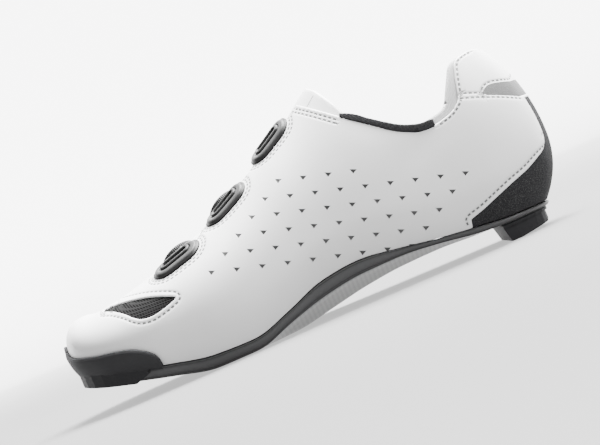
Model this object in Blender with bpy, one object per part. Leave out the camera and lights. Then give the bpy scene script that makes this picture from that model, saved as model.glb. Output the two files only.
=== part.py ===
"""Road cycling shoe for the right foot, as separate closed solids in metres.

Frame: toe towards -X, heel towards +X, inner (medial) side towards -Y, +Z up.
The origin is the centre of the flat cleat seat, where the sole touches the floor.
"""
import math

import bmesh
import bpy
import numpy as np

# Main sizes of the last and the upper
LENGTH = 0.288
BALL_WIDTH = 0.099
HEEL_WIDTH = 0.0685
TOE_HEIGHT = 0.0536
INSTEP_HEIGHT = 0.1175
HEEL_HEIGHT = 0.1044
WALL = 0.002

# Sole sizes
TOE_SPRING = 0.0183
ARCH_RISE = 0.0163
KEEL_RISE = 0.0111
PLATE_DEPTH = 0.0072
PLATE_RIM = 0.0004
PLATE_TUCK = 0.0014
PLATE_ROUND = 0.0012
TOE_PAD_SIDE = 0.0022
TOE_PAD_DEPTH = 0.0050
TOE_PAD_STEP = 0.0030
TOE_PAD_LIFT = 0.0006
TOE_PAD_PLACES = (-0.020, 0.055, 0.110, 0.139)
HEEL_PAD_PLACES = (0.844, 0.950)
HEEL_PAD_LEAN = 0.0024
HEEL_PAD_REAR = 0.0040
HEEL_PAD_CHAMFER = 0.0010
HEEL_PAD_TILT = math.radians(5)
HEEL_PAD_FLAT = 0.006
HEEL_PAD_INSET = 0.0022
HEEL_PAD_FLANGE = 0.0016
HEEL_PAD_LIP = 0.0012
CLEAT_HOLE_RADIUS = 0.0025
CLEAT_HOLE_DEPTH = 0.0045
CLEAT_HOLE_SPREAD = 0.0175
CLEAT_HOLE_REACH = 0.0300

# Trim sizes
GAP = 0.0003
GUARD_THICKNESS = 0.0024
COUNTER_DEPTH = 0.0010
PATCH_DEPTH = 0.0006
MESH_DEPTH = 0.0006
MESH_THICKNESS = 0.0009
LINING_THICKNESS = 0.0042
TONGUE_THICKNESS = 0.0040
INSOLE_THICKNESS = 0.0030
INSOLE_CLEARANCE = 0.0008
THROAT_HALF_WIDTH = 0.0075
SCALLOP = 0.0012

# Closure sizes
GUIDE_LENGTH = 0.0310
GUIDE_WIDTH = 0.0190
GUIDE_THICKNESS = 0.0020
GUIDE_STEP = 0.0009
GUIDE_BAND = 0.0046
SLOT_LENGTH = 0.0150
SLOT_WIDTH = 0.0022
DIAL_RADIUS = 0.0105
DIAL_HEIGHT = 0.0046
DIAL_BASE_RADIUS = 0.0122
DIAL_BASE_HEIGHT = 0.0022
LACE_RADIUS = 0.0006
LACE_SPREAD = 0.0045
LACE_LIFT = 0.0006
LACE_BOW = 0.35
LACE_GAP = 0.0007

# Mesh fineness
SIDE_COLUMNS = 34
COLUMN_ROWS = 11
ROUND_SIDES = 28
LACE_POINTS = 7

# Sections of the last, from the toe tip to the back of the heel.
# x columns are shares of LENGTH from the toe, y columns shares of the local width,
# and toe, instep, heel say how much of each height the ridge over the section takes.
SECTION_COLUMNS = ("medial_x", "medial_y", "lateral_x", "lateral_y", "heel_mix",
                   "ridge_x", "ridge_y", "toe", "instep", "heel")
SECTIONS = (
    (0.009, -0.101, 0.009, -0.101, 0.00, 0.047, -0.100, 1.00, 0.000, 0.000),
    (0.025, -0.247, 0.021, 0.056, 0.00, 0.058, -0.096, 1.00, 0.000, 0.000),
    (0.061, -0.348, 0.054, 0.187, 0.00, 0.078, -0.091, 0.98, 0.000, 0.000),
    (0.117, -0.409, 0.106, 0.293, 0.00, 0.117, -0.086, 1.006, 0.000, 0.000),
    (0.186, -0.434, 0.179, 0.384, 0.00, 0.179, -0.076, 0.54, 0.245, 0.000),
    (0.262, -0.436, 0.262, 0.449, 0.00, 0.245, -0.056, 0.30, 0.408, 0.000),
    (0.339, -0.414, 0.346, 0.475, 0.00, 0.315, -0.035, 0.10, 0.563, 0.000),
    (0.419, -0.359, 0.429, 0.465, 0.00, 0.384, -0.020, 0.00, 0.698, 0.000),
    (0.495, -0.334, 0.509, 0.473, 0.30, 0.457, -0.010, 0.00, 0.807, 0.000),
    (0.572, -0.335, 0.585, 0.477, 0.60, 0.530, 0.000, 0.00, 0.917, 0.000),
    (0.648, -0.362, 0.658, 0.486, 0.85, 0.599, 0.000, 0.00, 1.038, 0.000),
    (0.724, -0.394, 0.731, 0.489, 1.00, 0.669, 0.000, 0.00, 0.570, 0.642),
    (0.797, -0.401, 0.801, 0.460, 1.00, 0.724, 0.000, 0.00, 0.200, 1.106),
    (0.863, -0.380, 0.863, 0.416, 1.00, 0.763, 0.003, 0.00, 0.000, 1.322),
    (0.915, -0.292, 0.915, 0.314, 1.00, 0.787, 0.007, 0.00, 0.000, 1.274),
    (0.945, -0.153, 0.945, 0.175, 1.00, 0.797, 0.010, 0.00, 0.000, 1.245),
    (0.954, 0.012, 0.954, 0.012, 1.00, 0.801, 0.012, 0.00, 0.000, 1.226),
)
LAST = len(SECTIONS) - 1
# Sections at which the plate's middle line starts and ends, counted from either tip
SPINE_START = 1.4
# How far the keel's edge stands from the foot line towards the middle line
KEEL_SHARE = 0.45
# Height share of the widest point in a column's own count, and the belly's power
SPLIT = 0.34
BELLY_POWER = 2.3
# Deep layers are thinner near the toe: from this section on they have full depth
FULL_DEPTH = 4.0
LEAST_DEPTH = 0.35

# How each section bulges: bulges are shares of LENGTH, widest is the height share of
# the widest point, round is the squareness of the curve from there to the ridge.
BELLY_COLUMNS = ("medial_bulge", "lateral_bulge", "widest", "round")
BELLIES = (
    (0.0090, 0.0090, 0.43, 2.1),
    (0.0104, 0.0097, 0.43, 2.1),
    (0.0122, 0.0111, 0.42, 2.1),
    (0.0146, 0.0132, 0.42, 2.1),
    (0.0160, 0.0146, 0.42, 2.1),
    (0.0156, 0.0146, 0.40, 2.2),
    (0.0160, 0.0139, 0.36, 2.3),
    (0.0194, 0.0132, 0.33, 2.3),
    (0.0236, 0.0132, 0.31, 2.3),
    (0.0250, 0.0139, 0.28, 2.2),
    (0.0243, 0.0146, 0.25, 2.1),
    (0.0208, 0.0153, 0.20, 2.0),
    (0.0180, 0.0160, 0.19, 2.0),
    (0.0200, 0.0194, 0.21, 2.0),
    (0.0285, 0.0285, 0.27, 2.0),
    (0.0403, 0.0403, 0.31, 2.0),
    (0.0458, 0.0458, 0.325, 2.0),
)

# The plate under each section: rises are shares of TOE_SPRING, ARCH_RISE and
# KEEL_RISE, depths of the side wall are shares of PLATE_DEPTH.
PLATE_COLUMNS = ("spring", "medial_arch", "lateral_arch", "medial_depth", "lateral_depth",
                 "keel")
PLATES = (
    (1.00, 0.00, 0.00, 1.00, 1.00, 0.00),
    (0.96, 0.00, 0.00, 1.00, 1.00, 0.00),
    (0.79, 0.00, 0.00, 1.00, 1.00, 0.00),
    (0.55, 0.00, 0.00, 1.00, 1.00, 0.00),
    (0.28, 0.00, 0.00, 1.00, 1.00, 0.00),
    (0.00, 0.03, 0.03, 1.04, 1.04, 0.00),
    (0.00, 0.03, 0.00, 0.94, 1.00, 0.00),
    (0.00, 0.45, 0.12, 0.89, 0.97, 0.06),
    (0.00, 0.80, 0.34, 1.15, 0.97, 0.40),
    (0.00, 0.98, 0.52, 1.07, 0.90, 0.75),
    (0.00, 1.00, 0.64, 0.65, 0.72, 0.95),
    (0.00, 0.88, 0.66, 0.44, 0.61, 1.00),
    (0.00, 0.69, 0.65, 0.54, 0.50, 0.91),
    (0.00, 0.615, 0.615, 0.44, 0.44, 0.90),
    (0.00, 0.615, 0.615, 0.39, 0.39, 0.90),
    (0.00, 0.615, 0.615, 0.35, 0.35, 0.90),
    (0.00, 0.615, 0.615, 0.33, 0.33, 0.90),
)

# Side-view outlines: share of LENGTH from the toe, share of the height named after it.
CLEAT_SEAT = 0.302
GUARD_EDGE = ((-0.10, 0.793), (0.0015, 0.793), (0.0075, 0.668), (0.054, 0.593),
              (0.090, 0.562), (0.124, 0.521), (0.148, 0.455), (0.163, 0.384),
              (0.168, 0.320))
GUARD_END = 0.170
VENT_EDGE = ((0.094, 0.972), (0.120, 0.985), (0.150, 0.972), (0.186, 0.938),
             (0.221, 0.875), (0.239, 0.821), (0.223, 0.776), (0.191, 0.733),
             (0.167, 0.741), (0.152, 0.785), (0.137, 0.856), (0.116, 0.927))
COUNTER_EDGE = ((0.789, -0.20), (0.789, 0.148), (0.792, 0.193), (0.824, 0.220),
                (0.858, 0.254), (0.892, 0.287), (0.928, 0.317), (0.959, 0.353),
                (0.987, 0.379), (0.9935, 0.460), (0.9930, 0.517), (0.988, 0.613),
                (0.979, 0.665), (1.10, 0.665), (1.10, -0.20))
PATCH_EDGE = ((0.908, 0.759), (0.914, 0.783), (0.924, 0.800), (0.940, 0.797),
              (0.970, 0.779), (1.10, 0.779), (1.10, 0.684), (0.974, 0.684))
# Upper's cut edge along collar and heel tab, shares of HEEL_HEIGHT
COLLAR_EDGE = ((0.647, 0.913), (0.690, 0.834), (0.724, 0.768), (0.748, 0.731),
               (0.771, 0.707), (0.801, 0.705), (0.835, 0.727), (0.852, 0.755),
               (0.862, 0.783), (0.866, 0.820), (0.876, 0.913), (0.884, 0.964),
               (0.898, 0.987), (0.922, 0.998), (0.937, 0.996), (0.946, 0.980))
# Top of binding and lining along the collar, shares of HEEL_HEIGHT
COLLAR_TOP = ((0.647, 0.938), (0.670, 0.903), (0.690, 0.857), (0.710, 0.820),
              (0.724, 0.796), (0.744, 0.770), (0.771, 0.745), (0.791, 0.742),
              (0.818, 0.751), (0.833, 0.768), (0.842, 0.802), (0.853, 0.857),
              (0.867, 0.922), (0.877, 0.964), (0.891, 0.982), (0.905, 0.987),
              (0.938, 0.987))
EYESTAY_TOP = (0.582, 0.994)
BINDING_END = 0.801
LINING_FRONT = ((0.655, 1.10), (0.655, 0.94), (0.640, 0.50))
# Rim of the tongue, shares of LENGTH and INSTEP_HEIGHT
TONGUE_RIM = ((0.560, 1.20), (0.602, 1.048), (0.616, 1.010), (0.628, 0.960),
              (0.641, 0.900), (0.650, 0.838), (0.645, 0.795), (0.600, 0.700))
TONGUE_FRONT = 0.170
TONGUE_HALF_WIDTH = 0.0215
THROAT_FRONT = 0.198
# Closures along the shoe: place as a share of LENGTH, then how far the inner guide and
# what faces it stand from the ridge, as shares of BALL_WIDTH
CLOSURES = ((0.264, 0.240, 0.360), (0.387, 0.155, 0.280), (0.510, 0.110, 0.150))

COLOURS = {
    "white_leather": ((0.90, 0.90, 0.90), 0.42),
    "dark_rubber": ((0.045, 0.045, 0.048), 0.75),
    "composite": ((0.055, 0.055, 0.058), 0.35),
    "microfibre": ((0.06, 0.06, 0.065), 0.85),
    "reflective": ((0.35, 0.35, 0.35), 0.50),
    "mesh": ((0.06, 0.06, 0.06), 0.80),
    "knit": ((0.07, 0.07, 0.075), 0.90),
    "lining": ((0.62, 0.62, 0.62), 0.90),
    "insole": ((0.30, 0.30, 0.32), 0.90),
    "guide_grey": ((0.28, 0.28, 0.28), 0.40),
    "dial_dark": ((0.05, 0.05, 0.05), 0.50),
    "lace": ((0.40, 0.40, 0.40), 0.60),
}


def table(columns, rows):
    """Return the rows of a table as one array for each named column."""
    return dict(zip(columns, np.array(rows, dtype=float).T))


def place_x(share):
    """Return X for a share of the length from the toe; the cleat seat is at 0."""
    return (np.asarray(share) - CLEAT_SEAT) * LENGTH


def loop_values(medial, lateral):
    """Join section values down the medial side and back up the lateral side."""
    return np.concatenate([medial, lateral[-2:0:-1]])


def smooth_loop(values, where):
    """Interpolate a closed loop of values without overshoot."""
    count = len(values)
    ahead = np.roll(values, -1) - values
    behind = np.roll(ahead, 1)
    product = ahead * behind
    total = np.where(product > 0, ahead + behind, 1.0)
    slope = np.where(product > 0, 2 * product / total, 0.0)
    where = np.mod(where, count)
    low = np.floor(where).astype(int) % count
    high = (low + 1) % count
    t = where - np.floor(where)
    return (values[low] * (2 * t**3 - 3 * t**2 + 1) + slope[low] * (t**3 - 2 * t**2 + t)
            + values[high] * (3 * t**2 - 2 * t**3) + slope[high] * (t**3 - t**2))


def last_loops():
    """Work out the loops of foot line, ridge and plate heights from the tables."""
    form = table(SECTION_COLUMNS, SECTIONS)
    belly = table(BELLY_COLUMNS, BELLIES)
    plate = table(PLATE_COLUMNS, PLATES)
    width = BALL_WIDTH + (HEEL_WIDTH - BALL_WIDTH) * form["heel_mix"]
    spring = TOE_SPRING * plate["spring"]
    edges = {side: spring + ARCH_RISE * plate[side + "_arch"] for side in SIDES}
    feet = {side: edges[side] + PLATE_DEPTH * plate[side + "_depth"] for side in SIDES}
    ridge_z = TOE_HEIGHT * form["toe"] + INSTEP_HEIGHT * form["instep"] \
        + HEEL_HEIGHT * form["heel"]
    mirrored = {
        "ridge_x": place_x(form["ridge_x"]), "ridge_y": form["ridge_y"] * width,
        "ridge_z": ridge_z, "widest": belly["widest"], "round": belly["round"],
        "keel_z": spring + KEEL_RISE * plate["keel"],
    }
    loops = {name: loop_values(value, value) for name, value in mirrored.items()}
    pairs = {
        "x": [place_x(form[side + "_x"]) for side in SIDES],
        "y": [form[side + "_y"] * width for side in SIDES],
        "z": [feet[side] for side in SIDES],
        "edge_z": [edges[side] for side in SIDES],
        "bulge": [belly[side + "_bulge"] * LENGTH for side in SIDES],
    }
    loops.update({name: loop_values(*value) for name, value in pairs.items()})
    return loops


SIDES = ("medial", "lateral")
TURN = -1.0
LOOPS = last_loops()
STEP = 1e-3


def loop_at(name, w):
    """Return a named loop's value at section number w, counted round the shoe."""
    return smooth_loop(LOOPS[name], w)


def outward(w):
    """Return the foot line's outward normal in plan at section number w."""
    dx = loop_at("x", w + STEP) - loop_at("x", w - STEP)
    dy = loop_at("y", w + STEP) - loop_at("y", w - STEP)
    size = np.hypot(dx, dy)
    return -dy / size * TURN, dx / size * TURN


def last_point(w, t):
    """Return the last's surface: up each section from foot line, t 0, to ridge, t 1.

    Below the widest point the wall bulges out as a power curve; above it the wall is
    a quarter of a superellipse that ends level on the ridge.
    """
    nx, ny = outward(w)
    bulge = loop_at("bulge", w)
    foot = [loop_at(name, w) for name in ("x", "y", "z")]
    ridge = [loop_at(name, w) for name in ("ridge_x", "ridge_y", "ridge_z")]
    wide_z = foot[2] + loop_at("widest", w) * (ridge[2] - foot[2])
    low = np.clip(t / SPLIT, 0.0, 1.0)
    out = bulge * (1 - (1 - low) ** BELLY_POWER)
    turn = np.clip((t - SPLIT) / (1 - SPLIT), 0.0, 1.0) * math.pi / 2
    power = 2 / loop_at("round", w)
    inward = 1 - np.cos(turn) ** power
    rise = np.sin(turn) ** power
    side_x = foot[0] + nx * out
    side_y = foot[1] + ny * out
    x = side_x + (ridge[0] - side_x) * inward
    y = side_y + (ridge[1] - side_y) * inward
    z = np.where(t < SPLIT, foot[2] + (wide_z - foot[2]) * low,
                 wide_z + (ridge[2] - wide_z) * rise)
    return np.stack([x, y, z], axis=-1)


def last_normal(w, t):
    """Return the surface's unit outward normal from differences along w and t."""
    along = last_point(w + STEP, t) - last_point(w - STEP, t)
    up = last_point(w, np.clip(t + STEP, 0, 0.9999)) - last_point(w, np.clip(t - STEP, 0, 1))
    normal = np.cross(along, up)
    return normal / np.linalg.norm(normal, axis=-1, keepdims=True)


def section_numbers():
    """Return the section numbers of the columns, round the whole shoe."""
    half = np.linspace(0, LAST, SIDE_COLUMNS + 1)
    return np.concatenate([half, 2 * LAST - half[-2:0:-1]])


def row_shares():
    """Return the shares up a section at which rows of points lie, below the ridge."""
    return np.linspace(0, 1, COLUMN_ROWS + 1)[:-1]


def new_object(name, vertices, faces, colour=None, cutter=False):
    """Make an object from points and faces, with its faces turned outwards."""
    mesh = bpy.data.meshes.new(name)
    mesh.from_pydata([tuple(map(float, v)) for v in vertices], [], faces)
    shape = bmesh.new()
    shape.from_mesh(mesh)
    bmesh.ops.recalc_face_normals(shape, faces=shape.faces)
    shape.to_mesh(mesh)
    shape.free()
    item = bpy.data.objects.new(name, mesh)
    bpy.context.collection.objects.link(item)
    if cutter:
        item.hide_render = True
        item.display_type = "WIRE"
    elif colour:
        item.data.materials.append(material(colour))
    return item


def material(name):
    """Return the named finish as a Principled material."""
    found = bpy.data.materials.get(name)
    if found:
        return found
    made = bpy.data.materials.new(name)
    made.use_nodes = True
    shader = made.node_tree.nodes["Principled BSDF"]
    colour, roughness = COLOURS[name]
    shader.inputs["Base Color"].default_value = (*colour, 1)
    shader.inputs["Roughness"].default_value = roughness
    shader.inputs["Metallic"].default_value = 0
    return made


def combine(target, other, operation):
    """Apply an exact Boolean of other on target and delete other."""
    step = target.modifiers.new("step", "BOOLEAN")
    step.operation = operation
    step.solver = "EXACT"
    step.object = other
    graph = bpy.context.evaluated_depsgraph_get()
    result = bpy.data.meshes.new_from_object(target.evaluated_get(graph))
    target.modifiers.clear()
    target.data = result
    bpy.data.objects.remove(other)
    return target


def depth_at(w, offset):
    """Return the offset at each section; deep ones shrink towards the toe."""
    share = np.minimum(w, 2 * LAST - w) / FULL_DEPTH
    return offset * (np.clip(share, LEAST_DEPTH, 1.0) if abs(offset) > 2 * WALL
                     else np.ones_like(share))


def form(name, offset, drop=0.0, colour=None):
    """Make the closed last, grown by offset; drop lowers the foot line's cap."""
    w = section_numbers()
    t = row_shares()
    ww, tt = np.meshgrid(w, t)
    points = last_point(ww, tt) + depth_at(w, offset)[:, None] * last_normal(ww, tt)
    around = len(w)
    count = SIDE_COLUMNS
    top_w = w[:count + 1]
    normal = last_normal(top_w, np.ones_like(top_w)) \
        + last_normal(-top_w, np.ones_like(top_w))
    normal /= np.linalg.norm(normal, axis=-1, keepdims=True)
    ridge = last_point(top_w, np.ones_like(top_w)) + depth_at(top_w, offset)[:, None] * normal
    rows = list(points)
    if drop:
        rows.insert(0, rows[0] - np.array([0, 0, drop]))
    vertices = np.concatenate(rows + [ridge])
    faces = []
    for row in range(len(rows) - 1):
        base = row * around
        for i in range(around):
            j = (i + 1) % around
            faces.append((base + i, base + j, base + around + j, base + around + i))
    top = (len(rows) - 1) * around
    crest = len(rows) * around
    for i in range(around):
        j = (i + 1) % around
        a = min(i, around - i)
        b = min(j, around - j)
        faces.append((top + i, top + j, crest + b, crest + a))
    faces.extend(ladder(around, 0))
    return new_object(name, vertices, faces, colour, cutter=colour is None)


def ladder(around, base):
    """Return faces that close a loop of points straight across the shoe."""
    faces = []
    for k in range(around // 2):
        near = (base + k, base + k + 1)
        far = (base + (around - k - 1) % around, base + (around - k) % around)
        faces.append(tuple(dict.fromkeys(near + far)))
    return faces


def shell(name, outer, inner, colour):
    """Make the layer between two forms, open underneath."""
    layer = form(name, outer, colour=colour)
    return combine(layer, form("core", inner, drop=0.02), "DIFFERENCE")


def prism(points, axis, low, high):
    """Extrude an outline along axis Y, given as (x, z), or Z, given as (x, y)."""
    count = len(points)
    if axis == "Y":
        vertices = [(x, side, z) for side in (low, high) for x, z in points]
    else:
        vertices = [(x, y, side) for side in (low, high) for x, y in points]
    faces = [tuple(range(count)), tuple(range(2 * count - 1, count - 1, -1))]
    for i in range(count):
        j = (i + 1) % count
        faces.append((i, j, count + j, count + i))
    return new_object("prism", vertices, faces, cutter=True)


def side_outline(shares, height):
    """Turn side-view shares into (x, z) points in metres."""
    return [(float(place_x(sx)), sz * height) for sx, sz in shares]


def grown(points, distance):
    """Move each side of an outline out by a distance and meet them at the corners."""
    corners = np.array(points)
    area = np.sum(corners[:, 0] * np.roll(corners[:, 1], -1)
                  - np.roll(corners[:, 0], -1) * corners[:, 1])
    ahead = np.roll(corners, -1, axis=0) - corners
    ahead /= np.linalg.norm(ahead, axis=1, keepdims=True)
    normal = np.stack([ahead[:, 1], -ahead[:, 0]], axis=1) * np.sign(area)
    behind = np.roll(normal, 1, axis=0)
    bisector = normal + behind
    scale = 2 / np.maximum(np.sum(bisector**2, axis=1, keepdims=True), 0.8)
    return [tuple(p) for p in corners + bisector * scale * distance]


def rounded(points, steps=3):
    """Pass a smooth closed curve through the corners of an outline."""
    corners = np.array(points)
    where = np.arange(0, len(corners), 1 / steps)
    low = np.floor(where).astype(int)
    t = (where - low)[:, None]
    p0, p1, p2, p3 = (corners[(low + k) % len(corners)] for k in (-1, 0, 1, 2))
    curve = 0.5 * (2 * p1 + (p2 - p0) * t + (2 * p0 - 5 * p1 + 4 * p2 - p3) * t**2
                   + (3 * p1 - p0 - 3 * p2 + p3) * t**3)
    return [tuple(p) for p in curve]


SIDE_REACH = 0.15
TALL = 0.2


def side_cut(target, points, operation, low=-SIDE_REACH, high=SIDE_REACH):
    """Cut or keep part of a solid with a side-view outline."""
    return combine(target, prism(points, "Y", low, high), operation)


def foot_line(lift=0.0):
    """Return the foot line's (x, z) points from the toe to the heel in side view."""
    w = np.linspace(0, LAST, SIDE_COLUMNS + 1)
    return list(zip(loop_at("x", w), loop_at("z", w) + lift))


def throat_outline():
    """Return the throat in plan: a long slot with a round front and scalloped sides."""
    front = float(place_x(THROAT_FRONT))
    back = float(place_x(EYESTAY_TOP[0])) + 0.06
    round_x = front + THROAT_HALF_WIDTH
    angles = np.linspace(math.pi, math.pi / 2, 6)
    nose = [(round_x + THROAT_HALF_WIDTH * math.cos(a), THROAT_HALF_WIDTH * math.sin(a))
            for a in angles]
    pitch = (CLOSURES[2][0] - CLOSURES[0][0]) / 2 * LENGTH
    first = float(place_x(CLOSURES[0][0]))
    xs = np.linspace(round_x + pitch / 8, back, 26)
    sway = SCALLOP * (1 - np.cos(2 * math.pi * (xs - first) / pitch)) / 2
    upper = nose + [(x, THROAT_HALF_WIDTH + s) for x, s in zip(xs, sway)]
    half = np.array(upper)
    centre = np.interp(half[:, 0], LOOPS["ridge_x"][:LAST], LOOPS["ridge_y"][:LAST])
    lateral = np.stack([half[:, 0], centre + half[:, 1]], axis=1)
    medial = np.stack([half[:, 0], centre - half[:, 1]], axis=1)[:0:-1]
    return [tuple(p) for p in np.concatenate([lateral, medial])]


def collar_cutter_points():
    """Return the side-view outline of all that is open above the collar."""
    top = (float(place_x(EYESTAY_TOP[0])), EYESTAY_TOP[1] * INSTEP_HEIGHT)
    edge = side_outline(COLLAR_EDGE, HEEL_HEIGHT)
    ends = [(float(place_x(1.1)), edge[-1][1]), (float(place_x(1.1)), TALL)]
    return [(top[0] - 0.004, TALL), (top[0] - 0.004, top[1] + 0.004), top] + edge + ends


def make_upper():
    """Make the hollow wall and cut its collar, throat, vents and recesses."""
    upper = shell("upper", 0.0, -WALL, "white_leather")
    side_cut(upper, collar_cutter_points(), "DIFFERENCE")
    combine(upper, prism(throat_outline(), "Z", TOE_HEIGHT * 0.6, TALL), "DIFFERENCE")
    vent = rounded(side_outline(VENT_EDGE, TOE_HEIGHT), 2)
    middle = float(loop_at("ridge_y", 3.5))
    side_cut(upper, vent, "DIFFERENCE", high=middle - GAP * 4)
    side_cut(upper, vent, "DIFFERENCE", low=middle + GAP * 4)
    for shares, depth in ((COUNTER_EDGE, COUNTER_DEPTH), (PATCH_EDGE, PATCH_DEPTH)):
        recess = shell("recess", WALL, -depth - GAP, None)
        outline = grown(side_outline(shares, HEEL_HEIGHT), GAP)
        side_cut(recess, outline, "INTERSECT")
        combine(upper, recess, "DIFFERENCE")
    return upper


def make_inlay(name, shares, depth, colour):
    """Make a panel that lies flush in its recess in the upper's wall."""
    panel = shell(name, 0.0, -depth, colour)
    return side_cut(panel, side_outline(shares, HEEL_HEIGHT), "INTERSECT")


def make_vent_mesh(name, medial):
    """Make the mesh that fills one vent, set back from the wall's face."""
    panel = shell(name, -MESH_DEPTH, -MESH_DEPTH - MESH_THICKNESS, "mesh")
    vent = grown(rounded(side_outline(VENT_EDGE, TOE_HEIGHT), 2), -GAP)
    middle = float(loop_at("ridge_y", 3.5))
    if medial:
        return side_cut(panel, vent, "INTERSECT", high=middle - GAP * 5)
    return side_cut(panel, vent, "INTERSECT", low=middle + GAP * 5)


def make_guard():
    """Make the rubber bumper round the toe, standing on the foot line."""
    guard = shell("toe_guard", GUARD_THICKNESS, GAP, "dark_rubber")
    edge = side_outline(GUARD_EDGE, TOE_HEIGHT)
    foot = [p for p in foot_line(lift=GAP) if p[0] < edge[-1][0]]
    rear = (float(place_x(GUARD_END)), foot[-1][1])
    front = (edge[0][0], foot[0][1])
    return side_cut(guard, edge + [rear] + foot[::-1] + [front], "INTERSECT")


def make_binding(name, medial):
    """Make the knit strip on the collar's front edge, one for each side."""
    strip = shell(name, 0.0, -WALL, "knit")
    edge = [p for p in side_outline(COLLAR_EDGE, HEEL_HEIGHT)
            if p[0] < place_x(BINDING_END)]
    end = float(place_x(BINDING_END)) - GAP
    low = np.interp(end, *np.array(side_outline(COLLAR_EDGE, HEEL_HEIGHT)).T)
    top = [p for p in side_outline(COLLAR_TOP, HEEL_HEIGHT) if p[0] < end]
    high = np.interp(end, *np.array(side_outline(COLLAR_TOP, HEEL_HEIGHT)).T)
    outline = [(x, z + 2 * GAP) for x, z in edge] + [(end, low + 2 * GAP), (end, high)]
    side_cut(strip, outline + top[::-1], "INTERSECT")
    ends = (-SIDE_REACH, 0.0) if medial else (0.0, SIDE_REACH)
    block = prism([(-1, ends[0]), (1, ends[0]), (1, ends[1]), (-1, ends[1])], "Z", 0, TALL)
    return combine(strip, block, "INTERSECT")


def make_lining():
    """Make the padded lining inside ankle and heel, up to the collar's top."""
    outer = -WALL - GAP
    pad = shell("collar_lining", outer, outer - LINING_THICKNESS, "lining")
    top = side_outline(COLLAR_TOP, HEEL_HEIGHT)
    front = side_outline(LINING_FRONT, HEEL_HEIGHT)
    start = front[1][0]
    top = [p for p in top if p[0] > start]
    low = front[2][1]
    rear = float(place_x(1.1))
    outline = [front[1]] + top + [(rear, top[-1][1]), (rear, low), front[2]]
    return side_cut(pad, outline, "INTERSECT")


def make_tongue():
    """Make the padded tongue under the eyestays, with its raised rim."""
    outer = -WALL - GAP
    tongue = shell("tongue", outer, outer - TONGUE_THICKNESS, "white_leather")
    rim = side_outline(TONGUE_RIM, INSTEP_HEIGHT)
    front = float(place_x(TONGUE_FRONT))
    low = TOE_HEIGHT * 0.8
    outline = [(front, TALL)] + rim + [(rim[-1][0] - 0.02, low), (front, low)]
    side_cut(tongue, outline, "INTERSECT")
    half = TONGUE_HALF_WIDTH
    centre = float(loop_at("ridge_y", 5.0))
    end = float(place_x(0.70))
    plan = [(front, centre - half * 0.8), (0.0, -half), (end, -half * 1.4),
            (end, half * 1.4), (0.0, half), (front, centre + half * 0.8)]
    return combine(tongue, prism(plan, "Z", 0, TALL), "INTERSECT")


def inset_foot(distance):
    """Return the foot line moved inwards, at the height of the floor of the shoe."""
    w = section_numbers()
    nx, ny = outward(w)
    x, y, z = (loop_at(name, w) for name in ("x", "y", "z"))
    across = np.roll(z[::-1], 1)
    chord = np.hypot(x - np.roll(x[::-1], 1), y - np.roll(y[::-1], 1))
    share = np.clip(distance / np.maximum(chord, distance * 2), 0, 0.5)
    return np.stack([x - nx * distance, y - ny * distance, z + (across - z) * share], -1)


def make_insole():
    """Make the insole, a plate of even thickness just inside the wall."""
    base = inset_foot(WALL + INSOLE_CLEARANCE) + np.array([0, 0, GAP])
    top = inset_foot(WALL + INSOLE_CLEARANCE) + np.array([0, 0, INSOLE_THICKNESS])
    around = len(base)
    faces = ladder(around, 0) + ladder(around, around)
    for i in range(around):
        j = (i + 1) % around
        faces.append((i, j, around + j, around + i))
    return new_object("insole", np.concatenate([base, top]), faces, "insole")


def plate(name, grow=0.0, lift=0.0, colour=None):
    """Make the sole plate: side wall, rounded edge, underside and flat keel."""
    w = section_numbers()
    nx, ny = outward(w)
    x, y, z, edge_z, keel_z = (loop_at(n, w) for n in ("x", "y", "z", "edge_z", "keel_z"))
    spine = np.clip(np.minimum(w, 2 * LAST - w), SPINE_START, LAST - SPINE_START)
    mid_x, mid_y = ((loop_at(n, spine) + loop_at(n, -spine)) / 2 for n in ("x", "y"))
    rim = PLATE_RIM + grow
    tuck = PLATE_TUCK - grow
    levels = [
        (x + nx * rim, y + ny * rim, z - GAP + lift),
        (x + nx * rim, y + ny * rim, z - GAP - PLATE_ROUND),
        (x - nx * tuck / 2, y - ny * tuck / 2, edge_z + PLATE_ROUND),
        (x - nx * (tuck + PLATE_ROUND), y - ny * (tuck + PLATE_ROUND), edge_z - grow),
        (x + (mid_x - x) * KEEL_SHARE, y + (mid_y - y) * KEEL_SHARE, keel_z - grow),
    ]
    levels[3] = (*levels[3][:2], np.maximum(levels[3][2], keel_z - grow))
    vertices = np.concatenate([np.stack(level, axis=-1) for level in levels])
    around = len(w)
    faces = ladder(around, 0) + ladder(around, (len(levels) - 1) * around)
    for row in range(len(levels) - 1):
        base = row * around
        for i in range(around):
            j = (i + 1) % around
            faces.append((base + i, base + j, base + around + j, base + around + i))
    return new_object(name, vertices, faces, colour, cutter=colour is None)


def disc(centre, radius, low, high, sides=ROUND_SIDES):
    """Make an upright round cutter."""
    angles = np.linspace(0, 2 * math.pi, sides, endpoint=False)
    ring = [(centre[0] + radius * math.cos(a), centre[1] + radius * math.sin(a))
            for a in angles]
    return prism(ring, "Z", low, high)


def make_outsole():
    """Make the plate and sink its three cleat bolt holes."""
    sole = plate("outsole", colour="composite")
    for hole_x, hole_y in ((-CLEAT_HOLE_REACH, 0.0), (CLEAT_HOLE_REACH / 2, CLEAT_HOLE_SPREAD),
                           (CLEAT_HOLE_REACH / 2, -CLEAT_HOLE_SPREAD)):
        hole = disc((hole_x, hole_y), CLEAT_HOLE_RADIUS, -0.01, CLEAT_HOLE_DEPTH, 12)
        combine(sole, hole, "DIFFERENCE")
    return sole


def plan_loop(distance, first, last):
    """Return the foot line in plan, moved out, for X between first and last."""
    w = section_numbers()
    nx, ny = outward(w)
    x = loop_at("x", w) + nx * distance
    y = loop_at("y", w) + ny * distance
    keep = (x > first) & (x < last)
    return x, y, keep


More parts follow.
